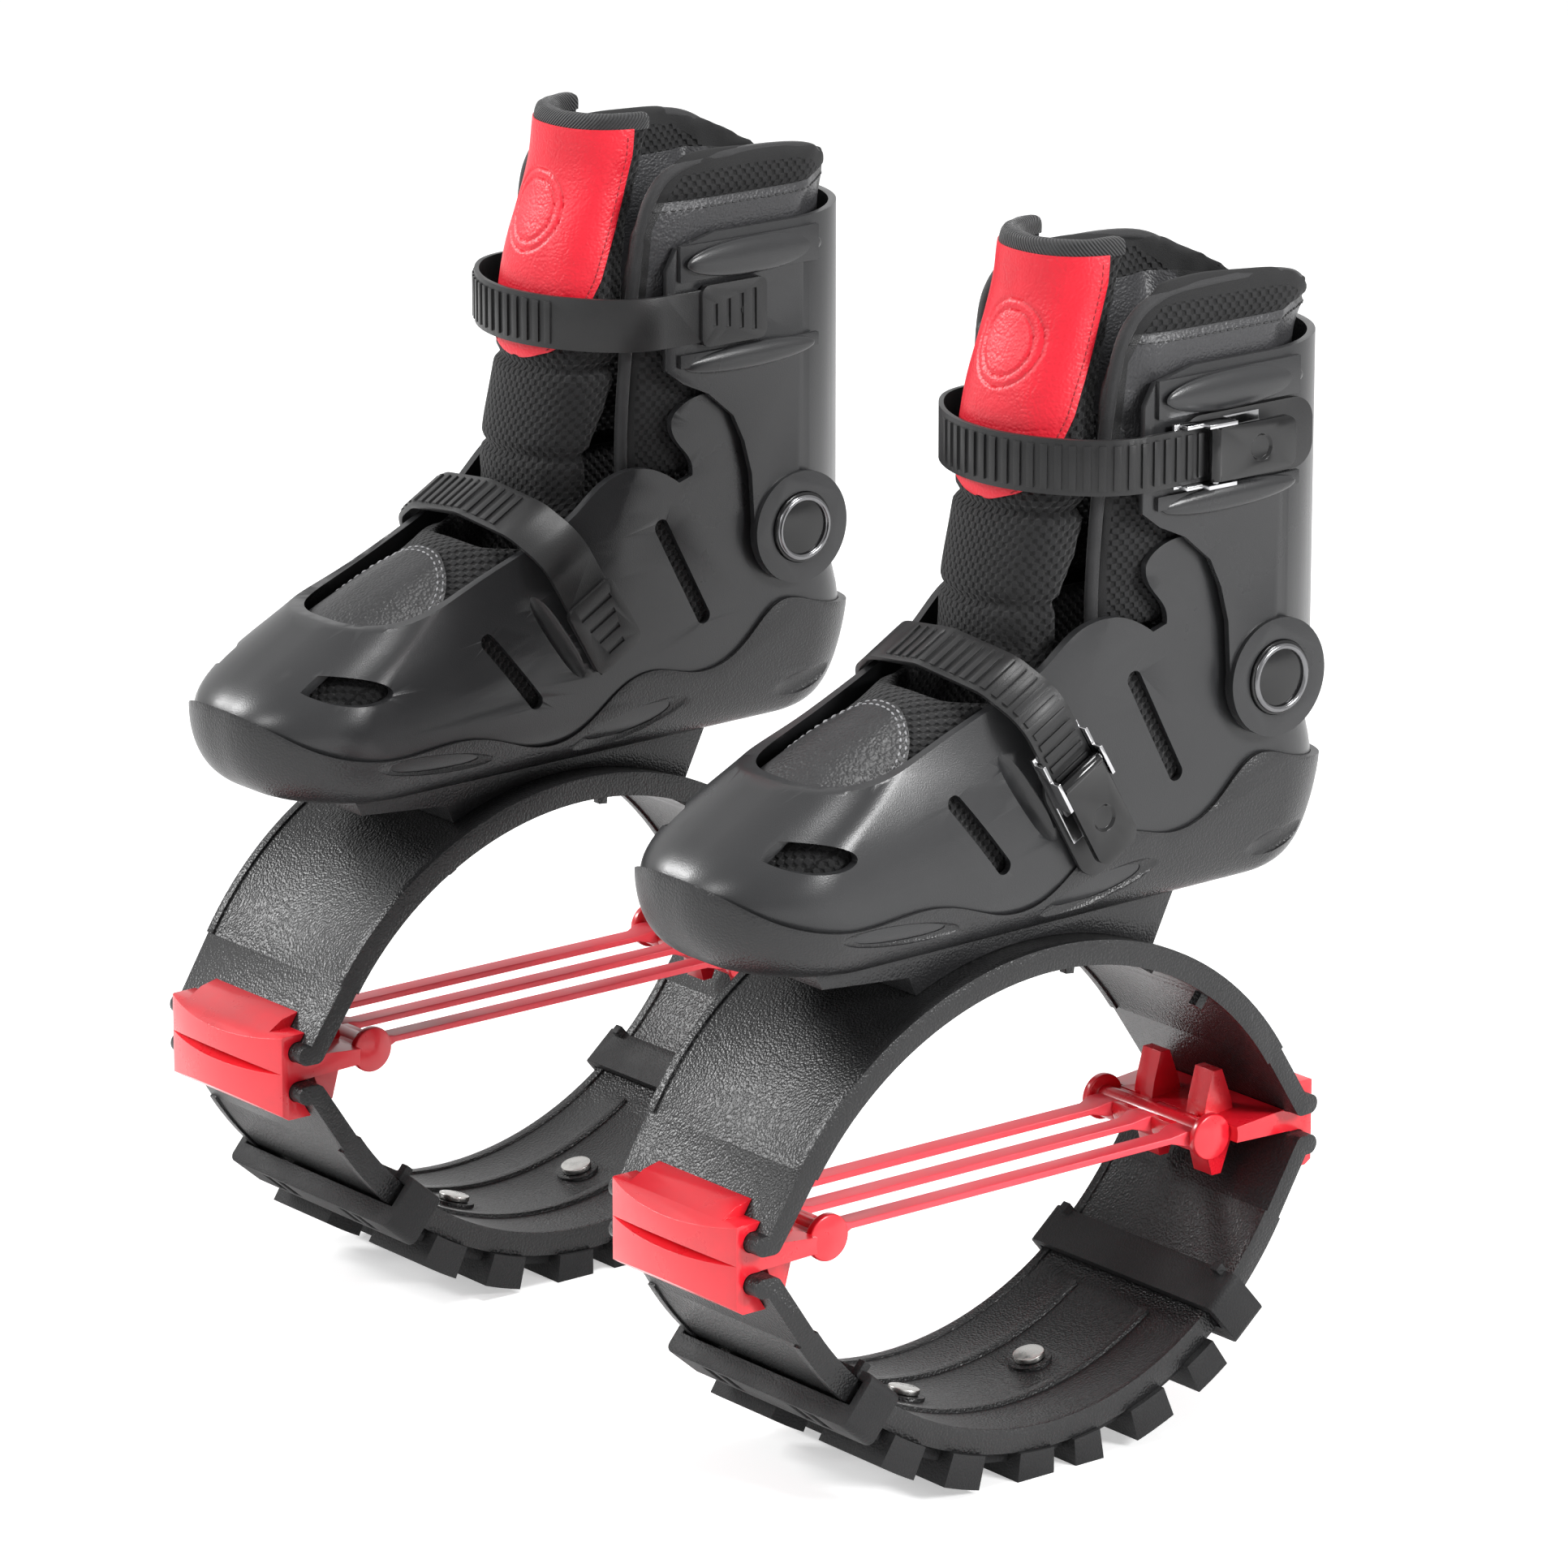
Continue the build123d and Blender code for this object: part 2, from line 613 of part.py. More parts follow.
def sole_line(rise):
    """The sole's wavy top as a side slab of all that is below it, raised by a small amount."""
    points = [(y * toe_reach, sole_bottom + z * sole_height + rise) for y, z in sole_line_shares]
    top = Spline(points)
    low = sole_bottom - overrun
    edges = [top, Line(top @ 1, (points[-1][0], low)), Line((points[-1][0], low), (points[0][0], low))]
    edges.append(Line((points[0][0], low), top @ 0))
    return extrude(Plane.YZ * make_face(Wire(edges)), forefoot_half_width + overrun, both=True)


def make_sole():
    """The rubbery sole: a tray with a wavy rim that the shell sits in."""
    sole = sole_form() & sole_line(0)
    sole -= foot_form(gap)
    sole -= Pos(0, -frame_setback, sole_bottom) * hole_set(bolt_radius + running, bolt_places, 4 * shell_floor)
    return sole


def above_rim():
    """All that is above the shell's rim, as a side slab."""
    front = Spline([(y * toe_reach, shell_bottom + z * shell_height) for y, z in shell_rim_shares])
    upright = Spline([(y * toe_reach, shell_bottom + z * shell_height) for y, z in shell_upright_shares])
    top = shell_bottom + shell_height + overrun
    first = (-toe_reach - overrun, (front @ 0).Y)
    corners = [first, (first[0], top), ((upright @ 1).X, top)]
    edges = [Line(first, front @ 0), front, Line(front @ 1, upright @ 0), upright]
    edges += [Line(upright @ 1, corners[2]), Line(corners[2], corners[1]), Line(corners[1], first)]
    return extrude(Plane.YZ * make_face(Wire(edges)), forefoot_half_width + overrun, both=True)


# Vent slots through the shell's sides: the two ends of each slot, along the foot and up the shell.
vent_slot_shares = (
    ((-0.31, 0.355), (-0.17, 0.16)),
    ((0.27, 0.60), (0.41, 0.31)),
)
toe_vent_shares = (-0.75, 0.285, 0.115, 0.035)


def vent_bars():
    """Round-ended bars that cut the vents through both sides of the shell."""
    bars = Part()
    for start, end in vent_slot_shares:
        first = Vector(start[0] * toe_reach, shell_bottom + start[1] * shell_height)
        last = Vector(end[0] * toe_reach, shell_bottom + end[1] * shell_height)
        middle = (first + last) / 2
        length = (last - first).length + vent_width
        angle = math.degrees(math.atan2((last - first).Y, (last - first).X))
        slot = Plane.YZ * (Pos(middle.X, middle.Y) * (Rot(0, 0, angle) * SlotOverall(length, vent_width)))
        bars += extrude(slot, forefoot_half_width + overrun, both=True)
    along, up, half_length, half_height = toe_vent_shares
    oval = Ellipse(half_length * toe_reach, half_height * toe_reach)
    place = Pos(along * toe_reach, shell_bottom + up * shell_height)
    oval = place * (Rot(0, 0, -toe_vent_tilt) * oval)
    bars += extrude(Plane.YZ * oval, forefoot_half_width + overrun, both=True)
    return bars


def pin_bar(radius):
    """A bar along the ankle pivot's axis."""
    bar = Cylinder(radius, 2 * (forefoot_half_width + overrun), rotation=(0, 90, 0))
    return Pos(0, pivot_back, pivot_height) * bar


def make_shell():
    """The hard shell: toe box, instep wings, notch and upright, with vents in its sides."""
    shell = foot_form(0)
    floor = shell_bottom + shell_floor
    wide = forefoot_half_width + overrun
    room = block((-wide, wide), (-2 * toe_reach, 2 * toe_reach), (floor, floor + 2 * shell_height))
    shell -= foot_form(-shell_wall, shell_wall * 0.7) & room
    shell -= above_rim()
    bars = vent_bars()
    inside = shell_half_width * 0.62
    shell -= bars - block((-inside, inside), (-toe_reach, toe_reach), (0, 2 * shell_bottom))
    shell -= pin_bar(pin_radius + running)
    shell -= instep_place * rivet_holes(instep_rivet_shares, running)
    shell -= instep_plane * instep_stud(rivet_stem + running, 6 * shell_wall)
    shell -= Pos(0, -frame_setback, sole_bottom) * hole_set(bolt_radius + running, bolt_places, 6 * shell_floor)
    return shell


def make_sole_mount():
    """The saddle block that carries the sole on the upper arch's crown."""
    low = crown_top - 4 * sole_clearance_height
    top = sole_bottom - gap / 2
    outline = [
        (-0.36 * toe_reach, low), (-0.42 * toe_reach, crown_top - 0.6 * sole_clearance_height),
        (-0.70 * toe_reach, crown_top), (-0.72 * toe_reach, top), (0.30 * toe_reach, top),
        (0.46 * toe_reach, top + 0.2 * sole_clearance_height), (0.36 * toe_reach, low),
    ]
    mount = side_slab(outline, arch_end_half_width * 0.8)
    seat = arch_radius + arch_thickness / 2 + gap / 2
    under = Cylinder(seat, 4 * arch_half_width, rotation=(0, 90, 0))
    mount -= Pos(0, -frame_setback, frame_mid - arch_centre_drop) * under
    mount -= sole_form()
    mount -= Pos(0, -frame_setback, crown_top) * hole_set(bolt_radius + running, bolt_places, 4 * overrun)
    return mount


def make_sole_bolts():
    """Bolts up through the arch and the saddle into the shell's floor."""
    inner = arch_radius - arch_thickness / 2
    reach = bolt_pitch + bolt_head_radius
    seat = frame_mid - arch_centre_drop + math.sqrt(inner ** 2 - reach ** 2) - gap
    low = seat - bolt_head_height / 2
    top = shell_bottom + shell_floor - gap
    bolts = Part()
    for x, y in bolt_places:
        shank = Pos(0, 0, (low + top) / 2) * Cylinder(bolt_radius, top - low)
        head = Pos(0, 0, low) * Cylinder(bolt_head_radius, bolt_head_height)
        head -= Pos(0, 0, low - bolt_head_height / 2) * Cylinder(bolt_radius * 0.8, bolt_head_height)
        bolts += Pos(x, y - frame_setback, 0) * (shank + head)
    return bolts


split_height = shell_bottom + 0.72 * shell_height
tongue_back = 0.17 * toe_reach


def make_foot_liner():
    """The padded foot of the inner boot, open where the leg goes in."""
    liner = liner_form(0)
    wide = forefoot_half_width
    floor = shell_bottom + shell_floor + liner_wall + gap
    room = block((-wide, wide), (-2 * toe_reach, 2 * toe_reach), (floor, floor + 2 * shell_height))
    liner -= liner_form(-liner_wall, liner_wall * 0.7) & room
    side = throat_half_width + gap
    liner -= block((-side, side), (-toe_reach, tongue_back), (tongue_base - gap, 2 * shell_bottom))
    liner &= block((-wide, wide), (-toe_reach, heel_reach), (shell_bottom + shell_floor + gap, split_height))
    liner -= pin_bar(pin_radius + running)
    return liner


def make_toe_patch():
    """The leather toe piece sewn over the inner boot."""
    half = throat_half_width * 0.8
    low = shell_bottom + 0.35 * shell_height
    area = block((-half, half), (-0.70 * toe_reach, -0.37 * toe_reach), (low, low + shell_height))
    return (liner_form(patch_thickness + gap) & area) - liner_form(gap)


# The collar's front edge and top line: places along the foot, heights up the collar.
collar_line_shares = (
    (0.176, 0.23), (0.172, 0.66), (0.196, 0.79), (0.24, 0.885), (0.314, 0.965), (0.42, 1.0),
    (0.59, 1.0), (0.75, 0.98), (0.87, 0.935), (0.95, 0.86), (1.03, 0.795), (1.30, 0.76),
)


def make_collar():
    """The padded collar of the inner boot, a thick wall round the leg with a gap for the tongue."""
    rise = collar_top - split_height
    low = split_height + gap
    line = Spline([(y * toe_reach, split_height + z * rise) for y, z in collar_line_shares])
    first, last = line @ 0, line @ 1
    corners = [(last.X, low), (first.X, low)]
    edges = [line, Line(last, corners[0]), Line(corners[0], corners[1]), Line(corners[1], first)]
    area = extrude(Plane.YZ * make_face(Wire(edges)), forefoot_half_width + overrun, both=True)
    return (leg_form(0) - leg_form(-collar_wall)) & area


# How far back the tongue's sides reach inside the collar: places along the foot, heights up the tongue.
tongue_side_shares = ((0.08, 0.0), (0.12, 0.17), (0.20, 0.35), (0.27, 0.72), (0.35, 1.0))


def make_tongue():
    """The padded tongue in front of the leg, a bent pad with its sides under the collar."""
    rise = tongue_top - gap - tongue_base
    back = [(y * toe_reach, tongue_base + z * rise) for y, z in tongue_side_shares]
    front = [(-toe_reach, back[-1][1]), (-toe_reach, tongue_base)]
    return (tongue_form(0) - tongue_form(-collar_wall)) & side_slab(back + front, forefoot_half_width)


patch_half_shares = ((0.30, 0.0), (0.62, 0.12), (0.80, 0.55), (0.92, 1.0))


def make_tongue_patch():
    """The red leather panel sewn to the tongue's front."""
    low = cuff_strap_height - ladder_width * 0.75
    rise = tongue_top - low - 2 * liner_wall
    right = [(half * tongue_half_width, low + up * rise) for half, up in patch_half_shares]
    left = [(-x, z) for x, z in reversed(right)]
    area = front_slab(right + left, -toe_reach, tongue_back - 2 * gap)
    return (tongue_form(patch_thickness + gap) - tongue_form(gap)) & area


cuff_inner = shell_half_width + 2 * gap
cuff_outer = cuff_inner + cuff_wall
cuff_side_shares = (
    (0.253, 0.58), (0.309, 0.53), (0.392, 0.485), (0.475, 0.40), (0.511, 0.31), (0.536, 0.20), (0.547, 0.0),
    (0.836, 0.0), (0.928, 0.09), (1.135, 0.155), (1.135, 1.0), (0.413, 1.0), (0.289, 0.965), (0.258, 0.90),
)


def cuff_plan(half, back):
    """The cuff's outline from above: straight sides and a round back."""
    bend = ThreePointArc((half, pivot_back), (0, back), (-half, pivot_back))
    sides = [Line((-half, pivot_back), (-half, -toe_reach)), Line((-half, -toe_reach), (half, -toe_reach))]
    sides.append(Line((half, -toe_reach), (half, pivot_back)))
    return extrude(make_face(Wire([bend] + sides)), 2 * cuff_top)


def make_cuff():
    """The hinged cuff: side plates on the ankle pivots, strap channels and a round back with a window."""
    rise = cuff_top - pivot_height
    outline = [(y * heel_reach, pivot_height + z * rise) for y, z in cuff_side_shares]
    profile = side_slab(outline, 2 * cuff_outer)
    boss = Cylinder(boss_radius, 4 * cuff_outer, rotation=(0, 90, 0))
    profile += Pos(0, pivot_back, pivot_height) * boss
    hollow = cuff_plan(cuff_inner + swing_room, cuff_back - cuff_wall)
    cuff = (cuff_plan(cuff_outer, cuff_back) - hollow) & profile
    window = Plane.XZ * (Pos(0, pivot_height + rise * 0.5) * Ellipse(boss_radius * 0.6, rise * 0.2))
    cuff -= Pos(0, 2 * heel_reach, 0) * extrude(window, heel_reach + boss_radius)
    low_ridge = (cuff_strap_height - ladder_width * 0.95, cuff_strap_height - ladder_width * 0.7)
    high_ridge = (cuff_strap_height + ladder_width * 0.7, cuff_top - cuff_wall)
    for side in (-1, 1):
        reach = sorted((side * (cuff_outer - gap), side * (cuff_outer + boss_proud)))
        for band in (low_ridge, high_ridge):
            cuff += block(reach, (pivot_back * 0.42, pivot_back * 1.08), band)
        middle = side * (cuff_outer + boss_proud / 2)
        pad = Cylinder(boss_radius, boss_proud, rotation=(0, 90, 0))
        cuff += Pos(middle, pivot_back, pivot_height) * pad
        recess = Cylinder(cap_radius + gap, 2 * cap_recess, rotation=(0, 90, 0))
        cuff -= Pos(side * (cuff_outer + boss_proud), pivot_back, pivot_height) * recess
    cuff -= pin_bar(pin_radius + running)
    cuff -= cuff_place * rivet_holes(cuff_rivet_shares, running)
    cuff -= cuff_stud(rivet_stem + running, 4 * cuff_wall)
    return cuff


def make_pivot_caps():
    """Ankle pins through the shell and the cuff, each with a broad cap."""
    caps = Part()
    inside = shell_half_width - shell_wall
    seat = cuff_outer + boss_proud - cap_recess + gap
    for side in (-1, 1):
        pin = Cylinder(pin_radius, seat - inside, rotation=(0, 90, 0))
        pin = Pos(side * (seat + inside) / 2, 0, 0) * pin
        cap = Cylinder(cap_radius, cap_thickness, rotation=(0, 90, 0))
        cap = Pos(side * (seat + cap_thickness / 2), 0, 0) * cap
        caps += Pos(0, pivot_back, pivot_height) * (pin + cap)
    return caps


# Closures. A buckle is drawn in its own axes: x along the strap away from the foot's front, y across the strap,
# z outwards, with its hinge pin above the origin.
buckle_back = 0.36
strap_rise = buckle_wall + gap
pin_height = strap_rise + ladder_thickness + tooth_height + gap + barrel_radius
cheek_height = pin_height + pin_wire + buckle_wall
cheek_gap = ladder_width / 2 + gap
cuff_rivet_shares = (-0.2, 0.5)
instep_rivet_shares = (-0.2, 0.55)
cuff_seat = cuff_outer + gap
instep_seat = shell_half_width + instep_plate_room
cuff_place = Plane(origin=(0, cuff_hinge_back, cuff_strap_height), x_dir=(0, 1, 0), z_dir=(1, 0, 0))
slope = math.radians(instep_slope)
instep_along = (0, math.cos(slope), -math.sin(slope))
instep_place = Plane(origin=(0, instep_hinge_back, instep_hinge_height), x_dir=instep_along, z_dir=(1, 0, 0))


def rivet_holes(places, room):
    """Bars for the rivets that hold a closure on, out from the foot's middle on the outer side."""
    bars = Part()
    for share in places:
        bar = Cylinder(rivet_stem + room, 2 * forefoot_half_width, align=standing)
        bars += Pos(share * buckle_length, 0, shell_half_width * 0.8) * bar
    return bars


def make_buckle(seat, wall_inside, places):
    """The steel buckle: a base, two cheeks, the hinge pin and the rivets that hold it on."""
    base_low = plate_thickness + gap
    half = cheek_gap + buckle_wall
    span = (-buckle_back * buckle_length, 0.62 * buckle_length)
    base = block(span, (-half, half), (base_low, base_low + buckle_wall))
    for side in (-1, 1):
        span = sorted((side * cheek_gap, side * half))
        cheek = block((-0.3 * buckle_length, 0.2 * buckle_length), span, (base_low, base_low + cheek_height))
        low = base_low + cheek_height * 0.6
        cheek -= block((-0.4 * buckle_length, -0.12 * buckle_length), span, (low, overrun))
        base += cheek
    pin = Cylinder(pin_wire, 2 * half, rotation=(90, 0, 0))
    base += Pos(0, 0, base_low + pin_height) * pin
    for share in places:
        length = seat - wall_inside + base_low + gap
        stem = Cylinder(rivet_stem, length, align=hanging)
        base += Pos(share * buckle_length, 0, base_low + gap) * stem
    return Pos(0, 0, seat) * base


def make_lever(seat):
    """The ratchet lever: a dished plate with a barrel round the hinge pin."""
    low = plate_thickness + gap
    axis = low + pin_height
    half = cheek_gap - 2 * gap
    inner_end = barrel_radius / 2
    bottom = axis - lever_thickness / 4
    plate = block((inner_end, lever_length), (-half, half), (bottom, bottom + lever_thickness))
    plate = fillet(plate.edges().filter_by(Axis.Z).sort_by(Axis.X)[-2:], 2 * lever_thickness)
    dish = Cone(dish_radius * 0.6, dish_radius, lever_thickness)
    plate -= Pos(lever_length * 0.55, 0, axis + lever_thickness * 0.9) * dish
    barrel = Pos(0, 0, axis) * Cylinder(barrel_radius, 2 * (half - gap), rotation=(90, 0, 0))
    lever = plate + barrel
    lever -= Pos(0, 0, axis) * Cylinder(pin_wire + running, 4 * half, rotation=(90, 0, 0))
    return Pos(0, 0, seat) * lever


def make_strap_plate(seat, start, end, places):
    """The plastic plate under a buckle, with a round free end."""
    half = cheek_gap + 2 * buckle_wall
    plate = block((start, end), (-half, half), (0, plate_thickness))
    plate = fillet(plate.edges().filter_by(Axis.Z), half * 0.7)
    for share in places:
        plate -= Pos(share * buckle_length, 0, 0) * Cylinder(rivet_stem + running, 4 * plate_thickness)
    return Pos(0, 0, seat) * plate


def ladder(path, teeth_from, teeth_to, outer_hand):
    """A flat strap along a path in its own plane, with ratchet teeth on its outer face."""
    face = make_face(path.offset_2d(ladder_thickness / 2, kind=Kind.ARC, side=Side.BOTH))
    strap = extrude(face, ladder_width / 2, both=True)
    count = int((teeth_to - teeth_from) * path.length / tooth_pitch)
    tooth = Box(tooth_pitch * 0.5, tooth_height * 2, ladder_width * 0.8)
    for number in range(count):
        share = teeth_from + number * tooth_pitch / path.length
        place = path @ share
        way = path % share
        angle = math.degrees(math.atan2(way.Y, way.X))
        outward = Vector(way.Y, -way.X).normalized() * (outer_hand * ladder_thickness / 2)
        strap += Pos(place.X + outward.X, place.Y + outward.Y, 0) * (Rot(0, 0, angle) * tooth)
    return strap


def strap_height_on(seat):
    """How far out a strap's middle lies where it runs through a buckle."""
    return seat + plate_thickness + gap + strap_rise + ladder_thickness / 2


instep_up = (0, -math.sin(slope), -math.cos(slope))
instep_plane = Plane(origin=instep_place.origin, x_dir=(1, 0, 0), z_dir=instep_up)


def cuff_stud(radius, length):
    """The stud that fixes the cuff's strap on the inner side."""
    stud = Cylinder(radius, length, rotation=(0, 90, 0))
    return Pos(-cuff_outer, cuff_anchor_back - ladder_width / 2, cuff_strap_height) * stud


def instep_stud(radius, length):
    """The stud that fixes the instep strap on the inner side, in the strap's own plane."""
    stud = Cylinder(radius, length, rotation=(0, 90, 0))
    return Pos(-shell_half_width - gap, -instep_anchor_drop / 2, 0) * stud


def anchor_pad(side, low):
    """The broad grooved pad at a strap's fixed end, along its inner side from a low place."""
    face = side - ladder_thickness / 2 - pad_proud
    half = ladder_width / 2 + pad_margin
    pad = block((face, side), (low, low + pad_length), (-half, half))
    pad = fillet(pad.edges().filter_by(Axis.X), 2 * pad_margin)
    for number in (1, 2, 3, 4):
        groove = Box(pad_proud, pad_groove, (half - pad_margin) * (0.6 + 0.25 * number))
        pad -= Pos(face, low + number * pad_length / 5, 0) * groove
    return pad


def make_cuff_ladder():
    """The ladder strap over the leg, fixed on the inner side and ratcheted on the outer side."""
    inner_side = -(cuff_seat + ladder_thickness / 2)
    outer_side = strap_height_on(cuff_seat)
    half = (outer_side - inner_side) / 2
    middle = (outer_side + inner_side) / 2
    bend = cuff_strap_bend_share * heel_reach
    corner = cuff_strap_corner
    depth = bend + cuff_strap_front
    reach = half - corner
    front_radius = (reach ** 2 + depth ** 2 - corner ** 2) / (2 * (depth - corner))
    turn = math.atan2(front_radius - depth, reach)

    def on_corner(side, angle):
        across = reach + corner * math.cos(angle)
        return (middle + side * across, bend - corner * math.sin(angle))

    path = Wire([
        Line((inner_side, cuff_anchor_back), (inner_side, bend)),
        ThreePointArc((inner_side, bend), on_corner(-1, turn / 2), on_corner(-1, turn)),
        ThreePointArc(on_corner(-1, turn), (middle, -cuff_strap_front), on_corner(1, turn)),
        ThreePointArc(on_corner(1, turn), on_corner(1, turn / 2), (outer_side, bend)),
        Line((outer_side, bend), (outer_side, cuff_hinge_back + buckle_length * 0.3)),
    ])
    strap = ladder(path, 0.42, 0.97, 1) + anchor_pad(inner_side, cuff_anchor_back - pad_length)
    return Pos(0, 0, cuff_strap_height) * strap + cuff_stud(rivet_stem, 2 * cuff_wall)


def make_instep_ladder():
    """The ladder strap over the instep, in its own sloping plane."""
    inner_side = -(instep_seat + ladder_thickness / 2)
    outer_side = strap_height_on(instep_seat)
    crown = instep_crown
    shoulder = crown * 0.90
    knee = crown * 0.66
    path = FilletPolyline(
        (inner_side, -instep_anchor_drop), (inner_side, knee), (inner_side * 0.66, shoulder), (0, crown),
        (outer_side * 0.66, shoulder), (outer_side, knee), (outer_side, -buckle_length * 0.3),
        radius=ladder_width * 0.8,
    )
    strap = ladder(Wire(path.edges()), 0.42, 0.97, -1) + anchor_pad(inner_side, -instep_anchor_drop)
    return instep_plane * (strap + instep_stud(rivet_stem, 2 * shell_wall))


def make_shoe():
    """Every piece of the left shoe, by name, about the shoe's own middle."""
    shell_inside = shell_half_width - shell_wall
    return {
        "lower_arch": make_lower_arch(),
        "tread": make_tread(),
        "tread_rivets": make_tread_rivets(),
        "front_band": make_band(True),
        "rear_band": make_band(False),
        "front_clip": make_clip(True),
        "rear_clip": make_clip(False),
        "front_rod": make_rod(True),
        "rear_rod": make_rod(False),
        "tension_straps": make_tension_straps(),
        "upper_arch": make_upper_arch(),
        "sole_mount": make_sole_mount(),
        "sole_bolts": make_sole_bolts(),
        "sole": make_sole(),
        "foot_shell": make_shell(),
        "foot_liner": make_foot_liner(),
        "toe_patch": make_toe_patch(),
        "cuff": make_cuff(),
        "pivot_caps": make_pivot_caps(),
        "collar_liner": make_collar(),
        "tongue": make_tongue(),
        "tongue_patch": make_tongue_patch(),
        "cuff_ladder": make_cuff_ladder(),
        "cuff_plate": cuff_place * make_strap_plate(
            cuff_seat, -0.25 * buckle_length, 1.3 * buckle_length, cuff_rivet_shares),
        "cuff_buckle": cuff_place * make_buckle(cuff_seat, cuff_inner, cuff_rivet_shares),
        "cuff_lever": cuff_place * make_lever(cuff_seat),
        "instep_ladder": make_instep_ladder(),
        "instep_plate": instep_place * make_strap_plate(
            instep_seat, -0.1 * buckle_length, 1.1 * buckle_length, instep_rivet_shares),
        "instep_buckle": instep_place * make_buckle(instep_seat, shell_inside, instep_rivet_shares),
        "instep_lever": instep_place * make_lever(instep_seat),
    }


if __name__ == "__main__":
    os.makedirs("parts", exist_ok=True)
    for name, piece in make_shoe().items():
        left = Pos(stance_half, centre_shift, 0) * piece
        export_step(left, f"parts/left_{name}.step")
        export_step(mirror(left, about=Plane.YZ), f"parts/right_{name}.step")
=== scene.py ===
import math

import bpy
from mathutils import Matrix, Vector
from mathutils.kdtree import KDTree


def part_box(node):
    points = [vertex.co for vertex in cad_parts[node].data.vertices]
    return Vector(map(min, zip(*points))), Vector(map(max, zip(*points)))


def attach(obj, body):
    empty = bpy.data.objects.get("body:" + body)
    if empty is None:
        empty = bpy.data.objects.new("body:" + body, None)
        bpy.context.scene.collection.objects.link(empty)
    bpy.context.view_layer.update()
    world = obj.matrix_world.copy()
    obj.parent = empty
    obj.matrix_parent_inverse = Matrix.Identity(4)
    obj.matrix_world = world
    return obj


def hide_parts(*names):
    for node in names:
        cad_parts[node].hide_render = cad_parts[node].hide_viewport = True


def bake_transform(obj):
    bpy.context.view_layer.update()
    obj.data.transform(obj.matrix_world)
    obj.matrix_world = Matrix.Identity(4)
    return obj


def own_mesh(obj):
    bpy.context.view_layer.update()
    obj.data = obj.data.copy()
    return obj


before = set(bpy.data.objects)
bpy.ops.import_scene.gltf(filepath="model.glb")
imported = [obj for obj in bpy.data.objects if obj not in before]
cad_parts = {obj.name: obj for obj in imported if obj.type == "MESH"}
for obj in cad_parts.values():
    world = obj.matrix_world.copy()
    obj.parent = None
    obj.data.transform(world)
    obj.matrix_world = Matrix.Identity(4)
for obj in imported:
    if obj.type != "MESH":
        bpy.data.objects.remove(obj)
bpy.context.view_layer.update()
bpy.ops.object.select_all(action="DESELECT")

# Lower arch: a bent leaf of black glass-filled nylon with a pebbled skin, moulded with beaded edges.
# It carries the tread and flattens a little when the boot lands.


def node(material, kind, **settings):
    """Adds a shader node and sets its plain settings."""
    made = material.node_tree.nodes.new("ShaderNode" + kind)
    for name, value in settings.items():
        setattr(made, name, value)
    return made


def set_inputs(made, **values):
    """Sets a node's input sockets by their names, with spaces written as underscores."""
    for name, value in values.items():
        made.inputs[name.replace("_", " ")].default_value = value
    return made


def link(material, start, end):
    material.node_tree.links.new(start, end)


def plain_material(name, colour, roughness, **values):
    """A material whose even values sit on the shader's own sockets."""
    material = bpy.data.materials.new(name)
    material.use_nodes = True
    set_inputs(shader_of(material), Base_Color=(*colour, 1), Roughness=roughness, **values)
    return material


def shader_of(material):
    return material.node_tree.nodes["Principled BSDF"]


def object_place(material):
    return node(material, "TexCoord").outputs["Object"]


def tone(material, colour, darker, lighter, patch, place=object_place):
    """Varies the colour over broad patches, as moulding leaves it, and returns the patches' texture."""
    noise = set_inputs(node(material, "TexNoise"), Scale=1 / patch, Detail=5, Roughness=0.6)
    ramp = node(material, "ValToRGB")
    ramp.color_ramp.elements[0].position = 0.3
    ramp.color_ramp.elements[1].position = 0.72
    ramp.color_ramp.elements[0].color = (*[c * darker for c in colour], 1)
    ramp.color_ramp.elements[1].color = (*[c * lighter for c in colour], 1)
    link(material, place(material), noise.inputs["Vector"])
    link(material, noise.outputs["Fac"], ramp.inputs["Fac"])
    link(material, ramp.outputs["Color"], shader_of(material).inputs["Base Color"])
    return noise.outputs["Fac"]


def gloss_range(material, source, low, high):
    """Spreads the roughness between two values with a texture that is already there."""
    spread = set_inputs(node(material, "MapRange"), From_Min=0.3, From_Max=0.7, To_Min=low, To_Max=high)
    link(material, source, spread.inputs["Value"])
    link(material, spread.outputs["Result"], shader_of(material).inputs["Roughness"])


def bump(material, height, depth, under=None):
    """Turns a height into surface relief, over an earlier relief where there is one."""
    relief = set_inputs(node(material, "Bump"), Distance=depth)
    link(material, height, relief.inputs["Height"])
    if under is not None:
        link(material, under.outputs["Normal"], relief.inputs["Normal"])
    link(material, relief.outputs["Normal"], shader_of(material).inputs["Normal"])
    return relief


def pebble_height(material, size, uneven=0.6, place=object_place):
    """A moulded pebble grain: smooth cells of one size, broken up by a finer noise."""
    warp = set_inputs(node(material, "TexNoise"), Scale=0.6 / size, Detail=2)
    shift = node(material, "VectorMath", operation="MULTIPLY_ADD")
    shift.inputs[1].default_value = (size * uneven,) * 3
    cells = set_inputs(node(material, "TexVoronoi", feature="SMOOTH_F1"), Scale=1 / size, Smoothness=0.55)
    where = place(material)
    link(material, where, warp.inputs["Vector"])
    link(material, warp.outputs["Color"], shift.inputs[0])
    link(material, where, shift.inputs[2])
    link(material, shift.outputs["Vector"], cells.inputs["Vector"])
    return cells.outputs["Distance"]


